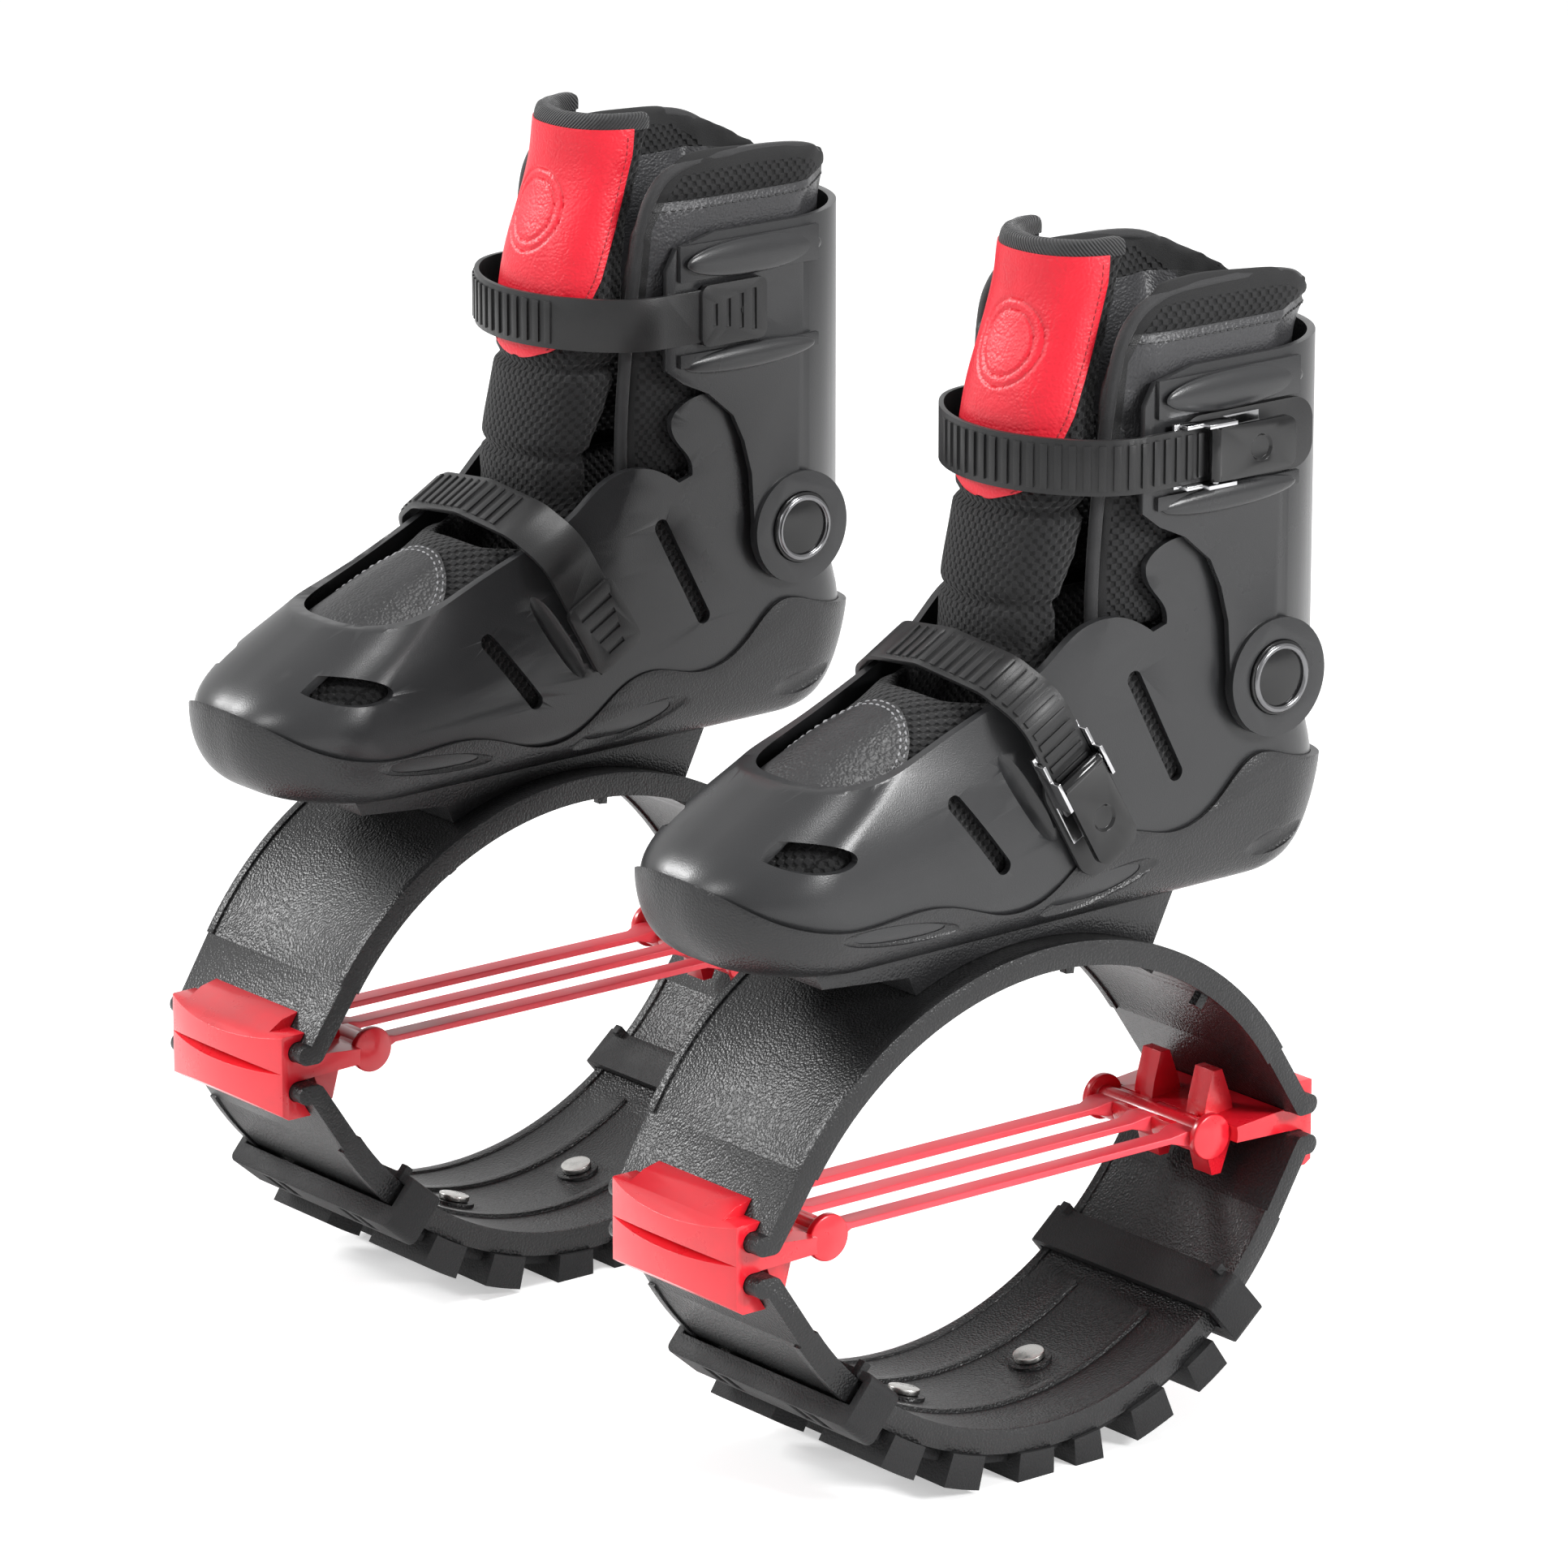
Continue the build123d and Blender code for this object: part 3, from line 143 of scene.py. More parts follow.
def only(piece):
    """Selects one piece and nothing else."""
    bpy.ops.object.select_all(action="DESELECT")
    piece.select_set(True)
    bpy.context.view_layer.objects.active = piece


def in_edit(piece, *steps):
    """Runs operators on all of a piece's mesh in edit mode."""
    only(piece)
    bpy.ops.object.mode_set(mode="EDIT")
    bpy.ops.mesh.select_all(action="SELECT")
    for operator, settings in steps:
        operator(**settings)
    bpy.ops.object.mode_set(mode="OBJECT")


def joined_copy(cad_node, name):
    """A copy of a CAD solid as one closed mesh, with its flat faces whole again."""
    piece = bpy.data.objects.new(name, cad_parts[cad_node].data.copy())
    bpy.context.scene.collection.objects.link(piece)
    piece.data.materials.clear()
    only(piece)
    bpy.ops.mesh.customdata_custom_splitnormals_clear()
    in_edit(
        piece,
        (bpy.ops.mesh.remove_doubles, {"threshold": 0.00001}),
        (bpy.ops.mesh.dissolve_limited, {"angle_limit": math.radians(0.6)}),
    )
    return piece


def apply_modifier(piece, kind, **settings):
    """Adds one modifier to a piece and applies it."""
    modifier = piece.modifiers.new(kind.lower(), kind)
    for name, value in settings.items():
        setattr(modifier, name, value)
    only(piece)
    bpy.ops.object.modifier_apply(modifier=modifier.name)


def smooth(piece, angle=38):
    only(piece)
    bpy.ops.object.shade_smooth_by_angle(angle=math.radians(angle))


def soften_edges(piece, width, angle=38, segments=2):
    """Rounds the moulded edges and smooths what is left."""
    apply_modifier(piece, "BEVEL", width=width, segments=segments, limit_method="ANGLE",
                   angle_limit=math.radians(angle), use_clamp_overlap=True)
    smooth(piece, angle)


def right_twin(piece):
    """The right boot's twin of a left piece: mirrored, with its faces turned outwards again."""
    twin = piece.copy()
    twin.data = piece.data.copy()
    twin.name = piece.name.replace("left", "right")
    bpy.context.scene.collection.objects.link(twin)
    twin.data.transform(Matrix.Diagonal((-1, 1, 1, 1)))
    in_edit(twin, (bpy.ops.mesh.normals_make_consistent, {"inside": False}))
    return twin


def dress_pair(piece, material, cad_nodes=()):
    """Gives a left piece its material and makes its right twin; both stand for their side's CAD nodes."""
    piece.data.materials.clear()
    piece.data.materials.append(material)
    pair = [("left", piece), ("right", right_twin(piece))]
    for side, one in pair:
        if cad_nodes:
            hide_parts(*[f"{side}_{name}" for name in cad_nodes])
    return pair


def ride_pair(pair, body):
    """Sets both pieces of a pair on their own side's body."""
    for side, one in pair:
        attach(one, f"{side}_{body}")


def flatten_pair(pair):
    """Gives both pieces a mesh of their own."""
    for side, one in pair:
        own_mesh(one)


black = (0.0105, 0.0105, 0.011)
arch_plastic = plain_material("pebbled_black_nylon", black, 0.38, Specular_IOR_Level=0.36)
gloss_range(arch_plastic, tone(arch_plastic, black, 0.8, 1.35, 0.06), 0.3, 0.38)
bump(arch_plastic, pebble_height(arch_plastic, 0.0010), -0.00025)

lower_arch = joined_copy("left_lower_arch", "left_lower_leaf")
soften_edges(lower_arch, 0.0007)
pair = dress_pair(lower_arch, arch_plastic, ["lower_arch"])
for side, one in pair:
    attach(one, "standing_frames")
flatten_pair(pair)

# Tread: dull black rubber with side lugs and middle blocks, wrapped round the lower arch.
# Two zinc-plated rivets clinch it to the arch through washers, and a rubber loop holds each end.

rubber_black = (0.0085, 0.0085, 0.009)
tread_rubber = plain_material("dull_tread_rubber", rubber_black, 0.6, Specular_IOR_Level=0.3)
gloss_range(tread_rubber, tone(tread_rubber, rubber_black, 0.8, 1.5, 0.03), 0.52, 0.72)
bump(tread_rubber, pebble_height(tread_rubber, 0.0009), -0.0002)
zinc = (0.56, 0.55, 0.53)
rivet_steel = plain_material("zinc_plated_steel", zinc, 0.3, Metallic=1.0)
gloss_range(rivet_steel, tone(rivet_steel, zinc, 0.75, 1.1, 0.004), 0.2, 0.42)

for part_name, piece_name, material, slot_name, width in (
    ("tread", "ground_tread", tread_rubber, "tread_rubber", 0.0013),
    ("front_band", "front_tread_band", tread_rubber, "tread_rubber", 0.0013),
    ("rear_band", "rear_tread_band", tread_rubber, "tread_rubber", 0.0013),
    ("tread_rivets", "clinched_rivets", rivet_steel, "rivet_steel", 0.0006),
):
    piece = joined_copy(f"left_{part_name}", f"left_{piece_name}")
    soften_edges(piece, width)
    pair = dress_pair(piece, material, [part_name])
    for side, one in pair:
        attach(one, "standing_frames")
    flatten_pair(pair)

# Clips, rods and tension straps: bright red moulded plastic, glossy on the clips and rods.
# The straps are a softer grade that lets some light through, so they look paler.

bright_red = (0.80, 0.010, 0.024)
clip_red = plain_material("glossy_red_plastic", bright_red, 0.3, Coat_Weight=0.3, Coat_Roughness=0.15)
gloss_range(clip_red, tone(clip_red, bright_red, 0.9, 1.06, 0.02), 0.24, 0.36)
soft_red = (0.90, 0.06, 0.085)
strap_red = plain_material("soft_red_strap_rubber", soft_red, 0.38, Subsurface_Weight=0.25,
                           Subsurface_Scale=0.004)
gloss_range(strap_red, tone(strap_red, soft_red, 0.92, 1.06, 0.03), 0.32, 0.46)

boot_middle = 0.15
rod_places = []
for part_name in ("front_rod", "rear_rod"):
    rod_low, rod_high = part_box(f"left_{part_name}")
    rod_places.append((Vector(rod_low) + Vector(rod_high)) / 2)
strap_spread, strap_narrow, strap_thin = 0.024, 0.74, 0.46
taper_start, taper_end = 0.010, 0.016


def thin_straps(piece):
    """Draws each strap's run in to a thin band, with a short taper behind its two hooks."""
    first, last = sorted(place.y for place in rod_places)
    for along in (first + taper_start, first + taper_end, last - taper_end, last - taper_start):
        in_edit(piece, (bpy.ops.mesh.bisect, {"plane_co": (0, along, 0), "plane_no": (0, 1, 0)}))
    for vertex in piece.data.vertices:
        if first + taper_end - 0.001 < vertex.co.y < last - taper_end + 0.001:
            middle = boot_middle + strap_spread * round((vertex.co.x - boot_middle) / strap_spread)
            vertex.co.x = middle + (vertex.co.x - middle) * strap_narrow
            vertex.co.z = rod_places[0].z + (vertex.co.z - rod_places[0].z) * strap_thin


for part_name, material, width in (
    ("front_clip", clip_red, 0.0022),
    ("rear_clip", clip_red, 0.0022),
    ("front_rod", clip_red, 0.0007),
    ("rear_rod", clip_red, 0.0007),
    ("tension_straps", strap_red, 0.0006),
):
    piece = joined_copy(f"left_{part_name}", f"left_red_{part_name}")
    if part_name == "tension_straps":
        thin_straps(piece)
    soften_edges(piece, width, segments=3)
    ride_pair(dress_pair(piece, material, [part_name]), "clips")

# Upper arch: the same leaf turned over, between the clips and the boot's saddle block.
# It flattens as the boot drops.

upper_arch = joined_copy("left_upper_arch", "left_upper_leaf")
soften_edges(upper_arch, 0.0007)
pair = dress_pair(upper_arch, arch_plastic, ["upper_arch"])
ride_pair(pair, "boot")
flatten_pair(pair)

# Saddle block, sole and shell: the sole is dark textured rubber, the shell a satin injection moulding.
# Bolts run up through the arch, the saddle and the sole into the shell's floor.


def at(across, along, up):
    """A place on the left boot, in metres, from millimetres about the boot's own middle."""
    return Vector((boot_middle + across / 1000, (along - 1) / 1000, up / 1000))


def surface_point(piece, start, toward):
    """Where a straight line from a place first meets a piece, and the surface's direction there."""
    hit, place, normal, _ = piece.ray_cast(start, toward)
    return (place.copy(), normal.copy()) if hit else None


def side_lens(piece, name, side, ends, height, depth):
    """A flat lens lying half sunk in a piece's side between two (along, up) places, in millimetres."""
    inward = Vector((-side, 0, 0))
    first, last = [surface_point(piece, at(side * 120, *end), inward)[0] for end in ends]
    middle, normal = surface_point(piece, (first + last) / 2 - inward * 0.05, inward)
    way = (last - first).normalized()
    out = (normal - way * normal.dot(way)).normalized()
    bpy.ops.mesh.primitive_uv_sphere_add(segments=48, ring_count=24, radius=0.5, location=(0, 0, 0))
    lens = bpy.context.object
    lens.name = name
    length = (last - first).length
    lens.data.transform(Matrix.Diagonal((2 * depth / 1000, length, height / 1000, 1)))
    lens.data.transform(Matrix((out, way, out.cross(way))).transposed().to_4x4())
    lens.data.transform(Matrix.Translation(middle))
    return lens


def carve(piece, cutters):
    """Cuts grooves into a piece and clears the cutters away."""
    for cutter in cutters:
        apply_modifier(piece, "BOOLEAN", operation="DIFFERENCE", solver="EXACT", object=cutter)
        bpy.data.objects.remove(cutter)


sole_grey = (0.0150, 0.0150, 0.0158)
sole_rubber = plain_material("textured_sole_rubber", sole_grey, 0.4, Specular_IOR_Level=0.38)
gloss_range(sole_rubber, tone(sole_rubber, sole_grey, 0.8, 1.3, 0.04), 0.3, 0.4)
bump(sole_rubber, pebble_height(sole_rubber, 0.0009), -0.00018)
shell_grey = (0.0215, 0.0218, 0.0230)
shell_plastic = plain_material("satin_grey_shell", shell_grey, 0.34, Specular_IOR_Level=0.38)
gloss_range(shell_plastic, tone(shell_plastic, shell_grey, 0.9, 1.12, 0.08), 0.26, 0.32)
bump(shell_plastic, pebble_height(shell_plastic, 0.0005), -0.00003)

saddle = joined_copy("left_sole_mount", "left_saddle_block")
bolts = joined_copy("left_sole_bolts", "left_saddle_bolts")
sole = joined_copy("left_sole", "left_wavy_sole")
shell = joined_copy("left_foot_shell", "left_hard_shell")
flutes, crescents = [], []
for side in (-1, 1):
    for ends, height, depth in (
        (((-108, 238.5), (-48, 232)), 9, 2.2),
        (((-6, 228), (54, 240)), 12, 2.4),
        (((92, 232), (139, 239)), 10, 2.4),
    ):
        flutes.append(side_lens(sole, "flute", side, ends, height, depth))
    crescents.append(side_lens(shell, "crescent", side, ((-27, 300), (2, 254)), 9, 2.0))
for piece, part_name, material, slot_name, width, cutters in (
    (saddle, "sole_mount", sole_rubber, "sole_rubber", 0.0008, []),
    (bolts, "sole_bolts", rivet_steel, "rivet_steel", 0.0003, []),
    (sole, "sole", sole_rubber, "sole_rubber", 0.0012, flutes),
    (shell, "foot_shell", shell_plastic, "shell_plastic", 0.0012, crescents),
):
    carve(piece, cutters)
    soften_edges(piece, width)
    ride_pair(dress_pair(piece, material, [part_name]), "boot")

# Inner boot's foot: foam between a black spacer mesh and a lining, shaped over a last.
# It fills the shell, and the mesh shows through the toe opening and the vents.


def soft_copy(cad_node, name, cell, shrink):
    """A CAD solid as an even mesh of small cells, a little smaller than it will be when filled."""
    piece = joined_copy(cad_node, name)
    apply_modifier(piece, "REMESH", mode="VOXEL", voxel_size=cell)
    apply_modifier(piece, "SMOOTH", factor=0.5, iterations=3)
    apply_modifier(piece, "DISPLACE", strength=-shrink, mid_level=0)
    return piece


def fill_pad(piece, limit, held_below):
    """Fills a pad by a short run of cloth under air pressure, with a limit on how far a point may move."""
    scene = bpy.context.scene
    start = [vertex.co.copy() for vertex in piece.data.vertices]
    held = piece.vertex_groups.new(name="held")
    held.add([vertex.index for vertex in piece.data.vertices if vertex.co.z < held_below], 1.0, "REPLACE")
    cloth = piece.modifiers.new("fill", "CLOTH")
    cloth.settings.quality = 5
    cloth.settings.use_pressure = True
    cloth.settings.uniform_pressure_force = 4
    cloth.settings.vertex_group_mass = "held"
    cloth.settings.effector_weights.gravity = 0
    cloth.point_cache.frame_start = 1
    cloth.point_cache.frame_end = 20
    for number in range(1, 21):
        scene.frame_set(number)
    only(piece)
    bpy.ops.object.modifier_apply(modifier="fill")
    scene.frame_set(1)
    for vertex, rest in zip(piece.data.vertices, start):
        move = vertex.co - rest
        if move.length > limit:
            vertex.co = rest + move * (limit / move.length)
    piece.vertex_groups.clear()
    apply_modifier(piece, "SMOOTH", factor=0.5, iterations=2)


def press(piece, depth, width, distance, faces_out=None):
    """Presses a groove into a pad along a line: distance(co) says how far off that line a point lies."""
    normals = [vertex.normal.copy() for vertex in piece.data.vertices]
    for vertex, normal in zip(piece.data.vertices, normals):
        if faces_out is None or faces_out(vertex.co, normal):
            away = distance(vertex.co)
            vertex.co -= normal * depth * math.exp(-(away / width) ** 2)


def lay_weave(piece, across_up, rim=()):
    """Stores each point's place on the flat cloth, which the weave follows, and its distance from the rim."""
    laid = piece.data.attributes.new("weave", "FLOAT_VECTOR", "POINT")
    tree = KDTree(len(rim))
    for number, place in enumerate(rim):
        tree.insert(place, number)
    tree.balance()
    for vertex, item in zip(piece.data.vertices, laid.data):
        across, up = across_up(vertex.co, vertex.normal)
        item.vector = (across, up, tree.find(vertex.co)[2] if rim else 1)


def weave_place(material):
    return node(material, "Attribute", attribute_name="weave").outputs["Vector"]


def math_node(material, operation, first, second=None):
    """One step of arithmetic on a socket and a number or another socket."""
    step = node(material, "Math", operation=operation)
    for socket, value in zip(step.inputs, (first, second)):
        if value is None:
            continue
        if isinstance(value, (int, float)):
            socket.default_value = value
        else:
            link(material, value, socket)
    return step.outputs["Value"]


def mesh_pits(material, pitch_across, pitch_up):
    """The open cells of a spacer mesh: oval pits in rows, each row shifted by half a cell."""
    split = node(material, "SeparateXYZ")
    link(material, weave_place(material), split.inputs["Vector"])
    waves = []
    for socket, pitch in ((split.outputs["X"], pitch_across), (split.outputs["Y"], 2 * pitch_up)):
        turns = math_node(material, "MULTIPLY", socket, 2 * math.pi / pitch)
        waves.append(math_node(material, "COSINE", turns))
    crossed = math_node(material, "MULTIPLY", waves[0], waves[1])
    pit = set_inputs(node(material, "MapRange"), From_Min=-0.15, From_Max=0.75, To_Min=1.0, To_Max=0.0)
    link(material, crossed, pit.inputs["Value"])
    return pit.outputs["Result"]


def mix_tint(material, share, first, second):
    """A colour between two, by a share from 0 to 1."""
    tint = node(material, "Mix", data_type="RGBA")
    link(material, share, tint.inputs["Factor"])
    for socket, colour in zip((tint.inputs[6], tint.inputs[7]), (first, second)):
        if isinstance(colour, tuple):
            socket.default_value = (*colour, 1)
        else:
            link(material, colour, socket)
    return tint.outputs[2]


mesh_black = (0.0135, 0.0135, 0.0142)
# The pits' darker colour is painted shade inside the mesh's open cells.
painted_pit_shade = (0.0025, 0.0025, 0.0027)
spacer_mesh = plain_material("black_spacer_mesh", mesh_black, 0.8, Sheen_Weight=0.1, Sheen_Roughness=0.5,
                             Specular_IOR_Level=0.25)
pits = mesh_pits(spacer_mesh, 0.0044, 0.0024)
mesh_with_pit_shade = mix_tint(spacer_mesh, pits, painted_pit_shade, mesh_black)
link(spacer_mesh, mesh_with_pit_shade, shader_of(spacer_mesh).inputs["Base Color"])
thread = set_inputs(node(spacer_mesh, "TexNoise"), Scale=2200, Detail=2)
link(spacer_mesh, weave_place(spacer_mesh), thread.inputs["Vector"])
bump(spacer_mesh, pits, 0.0011, under=bump(spacer_mesh, thread.outputs["Fac"], 0.0003))

foot_pad = soft_copy("left_foot_liner", "left_padded_foot", 0.004, 0.0006)
fill_pad(foot_pad, 0.0012, 0.27)
apply_modifier(foot_pad, "SUBSURF", levels=1, render_levels=1)
opening = at(0, -66, 0)
for vertex in foot_pad.data.vertices:
    if vertex.normal.z > 0.3:
        sideways = 1 - ((vertex.co.x - opening.x) / 0.031) ** 2
        lengthwise = 1 - ((vertex.co.y - opening.y) / 0.042) ** 2
        vertex.co.z += 0.0024 * max(0, sideways) * max(0, lengthwise)


def foot_weave(co, normal):
    """Over the instep the cloth runs across and along; on the sides it runs along and up."""
    if abs(normal.x) > 0.75:
        return co.y, co.z
    return co.x, co.y * 0.86 + co.z * 0.5


lay_weave(foot_pad, foot_weave)
smooth(foot_pad, 180)
pair = dress_pair(foot_pad, spacer_mesh, ["foot_liner"])
ride_pair(pair, "boot")

# Toe piece: a black grained leather panel sewn over the inner boot's toes with grey thread.
# Its rear edge is rounded and carries two rows of stitches.


def sewn_panel(name, piece, rows, lift, thickness):
    """A leather panel laid on a pad: each row's (start, toward) lines are dropped on it, then thickened."""
    places, faces, outward = [], [], Vector()
    for row in rows:
        for start, toward in row:
            found = surface_point(piece, start, toward)
            place = found[0] if found else places[-1]
            places.append(place - toward * lift)
            outward -= toward
    columns = len(rows[0])
    for row in range(len(rows) - 1):
        for column in range(columns - 1):
            corner = row * columns + column
            faces.append((corner, corner + 1, corner + columns + 1, corner + columns))
    mesh = bpy.data.meshes.new(name)
    mesh.from_pydata(places, [], faces)
    panel = bpy.data.objects.new(name, mesh)
    bpy.context.scene.collection.objects.link(panel)
    apply_modifier(panel, "SMOOTH", factor=0.5, iterations=4)
    facing = sum((polygon.normal for polygon in panel.data.polygons), Vector())
    if facing.dot(outward) < 0:
        panel.data.flip_normals()
    apply_modifier(panel, "SOLIDIFY", thickness=thickness, offset=1, use_even_offset=True)
    return panel


def stitch_row(name, places, length, thick):
    """A row of thread stitches: one rounded stitch, copied along pairs of place and surface direction."""
    bpy.ops.mesh.primitive_uv_sphere_add(segments=6, ring_count=5, radius=0.5, location=(0, 0, 0))
    stitch = bpy.context.object
    stitch.data.transform(Matrix.Diagonal((length, thick, thick, 1)))
    copies = []
    for (place, normal), (after, _) in zip(places[:-1], places[1:]):
        way = (after - place).normalized()
        side = normal.cross(way).normalized()
        turn = Matrix((way, side, way.cross(side))).transposed().to_4x4()
        one = stitch.copy()
        one.data = stitch.data.copy()
        bpy.context.scene.collection.objects.link(one)
        one.data.transform(Matrix.Translation((place + after) / 2) @ turn)
        copies.append(one)
    bpy.data.objects.remove(stitch)
    bpy.ops.object.select_all(action="DESELECT")
    for one in copies:
        one.select_set(True)
    bpy.context.view_layer.objects.active = copies[0]
    bpy.ops.object.join()
    row = bpy.context.object
    row.name = name
    smooth(row, 60)
    return row


def grain(material, size, depth):
    """Leather grain: fine cells in coarser creases."""
    fine = bump(material, pebble_height(material, size, 0.9, weave_place), -depth)
    creases = node(material, "TexVoronoi", feature="DISTANCE_TO_EDGE")
    set_inputs(creases, Scale=0.22 / size)
    link(material, weave_place(material), creases.inputs["Vector"])
    shallow = set_inputs(node(material, "MapRange"), From_Min=0.0, From_Max=0.12, To_Min=0.0, To_Max=1.0)
    link(material, creases.outputs["Distance"], shallow.inputs["Value"])
    return bump(material, shallow.outputs["Result"], depth * 0.3, under=fine)


leather_black = (0.017, 0.017, 0.018)
black_leather = plain_material("black_grained_leather", leather_black, 0.42, Specular_IOR_Level=0.4)
gloss_range(black_leather, tone(black_leather, leather_black, 0.8, 1.4, 0.02, weave_place), 0.36, 0.5)
grain(black_leather, 0.0013, 0.0003)
thread_grey = (0.30, 0.30, 0.31)
grey_thread = plain_material("grey_thread", thread_grey, 0.6)
tone(grey_thread, thread_grey, 0.7, 1.2, 0.002)

toe_half, toe_front, toe_back = 33, -112, -45
down = Vector((0, 0, -1))


def toe_line(along):
    """Half the toe panel's width at a place along the foot: straight sides, then a round end."""
    share = max(0, (along - toe_back + 27) / 27)
    return toe_half * math.sqrt(max(0.015, 1 - share ** 2))


toe_rows = []
for step in range(45):
    along = toe_front + (toe_back - toe_front) * step / 44
    half = toe_line(along)
    toe_rows.append([(at(half * (-1 + column / 14), along, 380), down) for column in range(29)])
toe_panel = sewn_panel("left_leather_toe", foot_pad, toe_rows, 0.0001, 0.0011)
lay_weave(toe_panel, lambda co, normal: (co.x, co.y))
smooth(toe_panel, 60)
ride_pair(dress_pair(toe_panel, black_leather, ["toe_patch"]), "boot")
for number, inset in enumerate((1.6, 3.8)):
    seam = []
    for step in range(27):
        angle = math.pi * step / 26
        across = (toe_half - inset) * math.cos(angle)
        along = toe_back - 27 + (27 - inset) * math.sin(angle)
        found = surface_point(toe_panel, at(across, along, 380), down)
        if found:
            seam.append(found)
    row = stitch_row(f"left_toe_stitches_{number}", seam, 0.0026, 0.00095)
    ride_pair(dress_pair(row, grey_thread), "boot")

# Tongue: a bent foam pad in spacer mesh, sewn across in two places and bound with twill along its top.
# It bends at the ankle between the shell and the cuff.

tongue_radius, ankle_spread = 0.028, 0.1


def bend_pair(pair):
    """Bakes both pieces' placement into their own meshes."""
    for side, one in pair:
        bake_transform(one)


def tongue_middle(up):
    """How far back the middle of the tongue's round front lies, by height in millimetres."""
    line = ((316, 8), (330, 16), (360, 19), (388, 26), (405, 28), (430, 32), (446, 37), (470, 44), (489, 46))
    for (low, near), (high, far) in zip(line[:-1], line[1:]):
        if up <= high:
            return near + (far - near) * (max(up, low) - low) / (high - low)
    return line[-1][1]


def tongue_weave(co, normal):
    """Round the tongue's front, then straight back along its sides."""
    middle = tongue_middle(co.z * 1000) / 1000 - 0.001
    across = co.x - boot_middle
    if co.y < middle:
        return tongue_radius * math.atan2(across, middle - co.y), co.z
    return math.copysign(tongue_radius * math.pi / 2 + co.y - middle, across), co.z


tongue = soft_copy("left_tongue", "left_padded_tongue", 0.0035, 0.001)
fill_pad(tongue, 0.0032, 0.32)
apply_modifier(tongue, "SUBSURF", levels=1, render_levels=1)
for vertex in tongue.data.vertices:
    share = min(1, max(0, (0.44 - vertex.co.z) / 0.04))
    vertex.co.x = boot_middle + (vertex.co.x - boot_middle) * (1 + ankle_spread * share)
for seam_height in (0.383, 0.347):
    press(tongue, 0.0026, 0.0022, lambda co, line=seam_height: co.z - line)
lay_weave(tongue, tongue_weave)
smooth(tongue, 180)

# The red leather panel on the tongue: broad at the top, drawn in to a round tip under the leg strap.
# A plain ring is pressed into it, and red thread runs down both edges.

panel_line = ((386.5, 3), (387, 15), (388, 27), (390, 40), (393, 50), (398, 58), (405, 64), (412, 69),
              (420, 75), (430, 79), (440, 81), (460, 82), (481, 82))


def panel_half(up):
    """How far round the tongue the red panel reaches at a height, in degrees either way from the middle."""
    for (low, near), (high, far) in zip(panel_line[:-1], panel_line[1:]):
        if up <= high:
            return near + (far - near) * (up - low) / (high - low)
    return panel_line[-1][1]


def round_tongue(angle, up):
    """A line towards the tongue's inside at an angle from its middle, as a start and a direction."""
    out = Vector((math.sin(math.radians(angle)), -math.cos(math.radians(angle)), 0))
    return at(0, tongue_middle(up), up) + out * 0.06, -out


panel_rows = []
for step in range(141):
    up = 386.5 + 94.5 * (step / 140) ** 1.25
    panel_rows.append([round_tongue(panel_half(up) * (-1 + column / 44), up) for column in range(89)])
red_panel = sewn_panel("left_red_tongue_panel", tongue, panel_rows, 0.0002, 0.0012)
ring_centre = at(2, 0, 446)


def ring_distance(co):
    """How far a point is from the nearer of two pressed rings."""
    radius = math.hypot(co.x - ring_centre.x, co.z - ring_centre.z)
    return min(abs(radius - 0.0165), abs(radius - 0.0125))


press(red_panel, 0.0009, 0.0005, ring_distance, lambda co, normal: normal.y < 0)
lay_weave(red_panel, tongue_weave)
smooth(red_panel, 60)
leather_red = (0.74, 0.012, 0.03)
red_leather = plain_material("red_grained_leather", leather_red, 0.42, Specular_IOR_Level=0.45)
gloss_range(red_leather, tone(red_leather, leather_red, 0.9, 1.06, 0.02, weave_place), 0.36, 0.48)
grain(red_leather, 0.0012, 0.00016)
bend_pair(dress_pair(red_panel, red_leather, ["tongue_patch"]))
thread_red = (0.32, 0.006, 0.014)
red_thread = plain_material("dark_red_thread", thread_red, 0.6)
tone(red_thread, thread_red, 0.7, 1.2, 0.002)
seam = []
for step in range(81):
    turn = -1 + step / 40
    up = 390 + 88 * abs(turn) ** 1.3
    angle = math.copysign(max(0.0, panel_half(up) - 6), turn)
    found = surface_point(red_panel, *round_tongue(angle, up))
    if found:
        seam.append(found)
row = stitch_row("left_red_stitches", seam, 0.0024, 0.0007)
bend_pair(dress_pair(row, red_thread))

pair = dress_pair(tongue, spacer_mesh, ["tongue"])
bend_pair(pair)

# Twill tape: a woven black tape folded over the tongue's top edge and sewn through.
# It is cut from a copy of the filled tongue, and gets its thickness after that.

band_low = 0.48
tape = bpy.data.objects.new("left_twill_tape", tongue.data.copy())
bpy.context.scene.collection.objects.link(tape)
top_only = {"plane_co": (0, 0, band_low), "plane_no": (0, 0, 1), "clear_inner": True}
in_edit(tape, (bpy.ops.mesh.bisect, top_only))
apply_modifier(tape, "SOLIDIFY", thickness=0.001, offset=0.9, use_even_offset=True)
smooth(tape, 50)
# The grooves' darker colour is painted shade, and the ribs' lighter colour is a painted highlight.
twill_black, painted_groove_shade, painted_rib_highlight = (0.015, 0.015, 0.016), (0.008, 0.008, 0.0085), (0.034, 0.034, 0.036)
twill = plain_material("black_twill_tape", twill_black, 0.7, Specular_IOR_Level=0.3, Sheen_Weight=0.2)
split = node(twill, "SeparateXYZ")
link(twill, weave_place(twill), split.inputs["Vector"])
slant = math_node(twill, "ADD", split.outputs["X"], split.outputs["Y"])
ribs = math_node(twill, "SINE", math_node(twill, "MULTIPLY", slant, 2 * math.pi / 0.0016))
rib_share = math_node(twill, "MULTIPLY_ADD", ribs, 0.5)
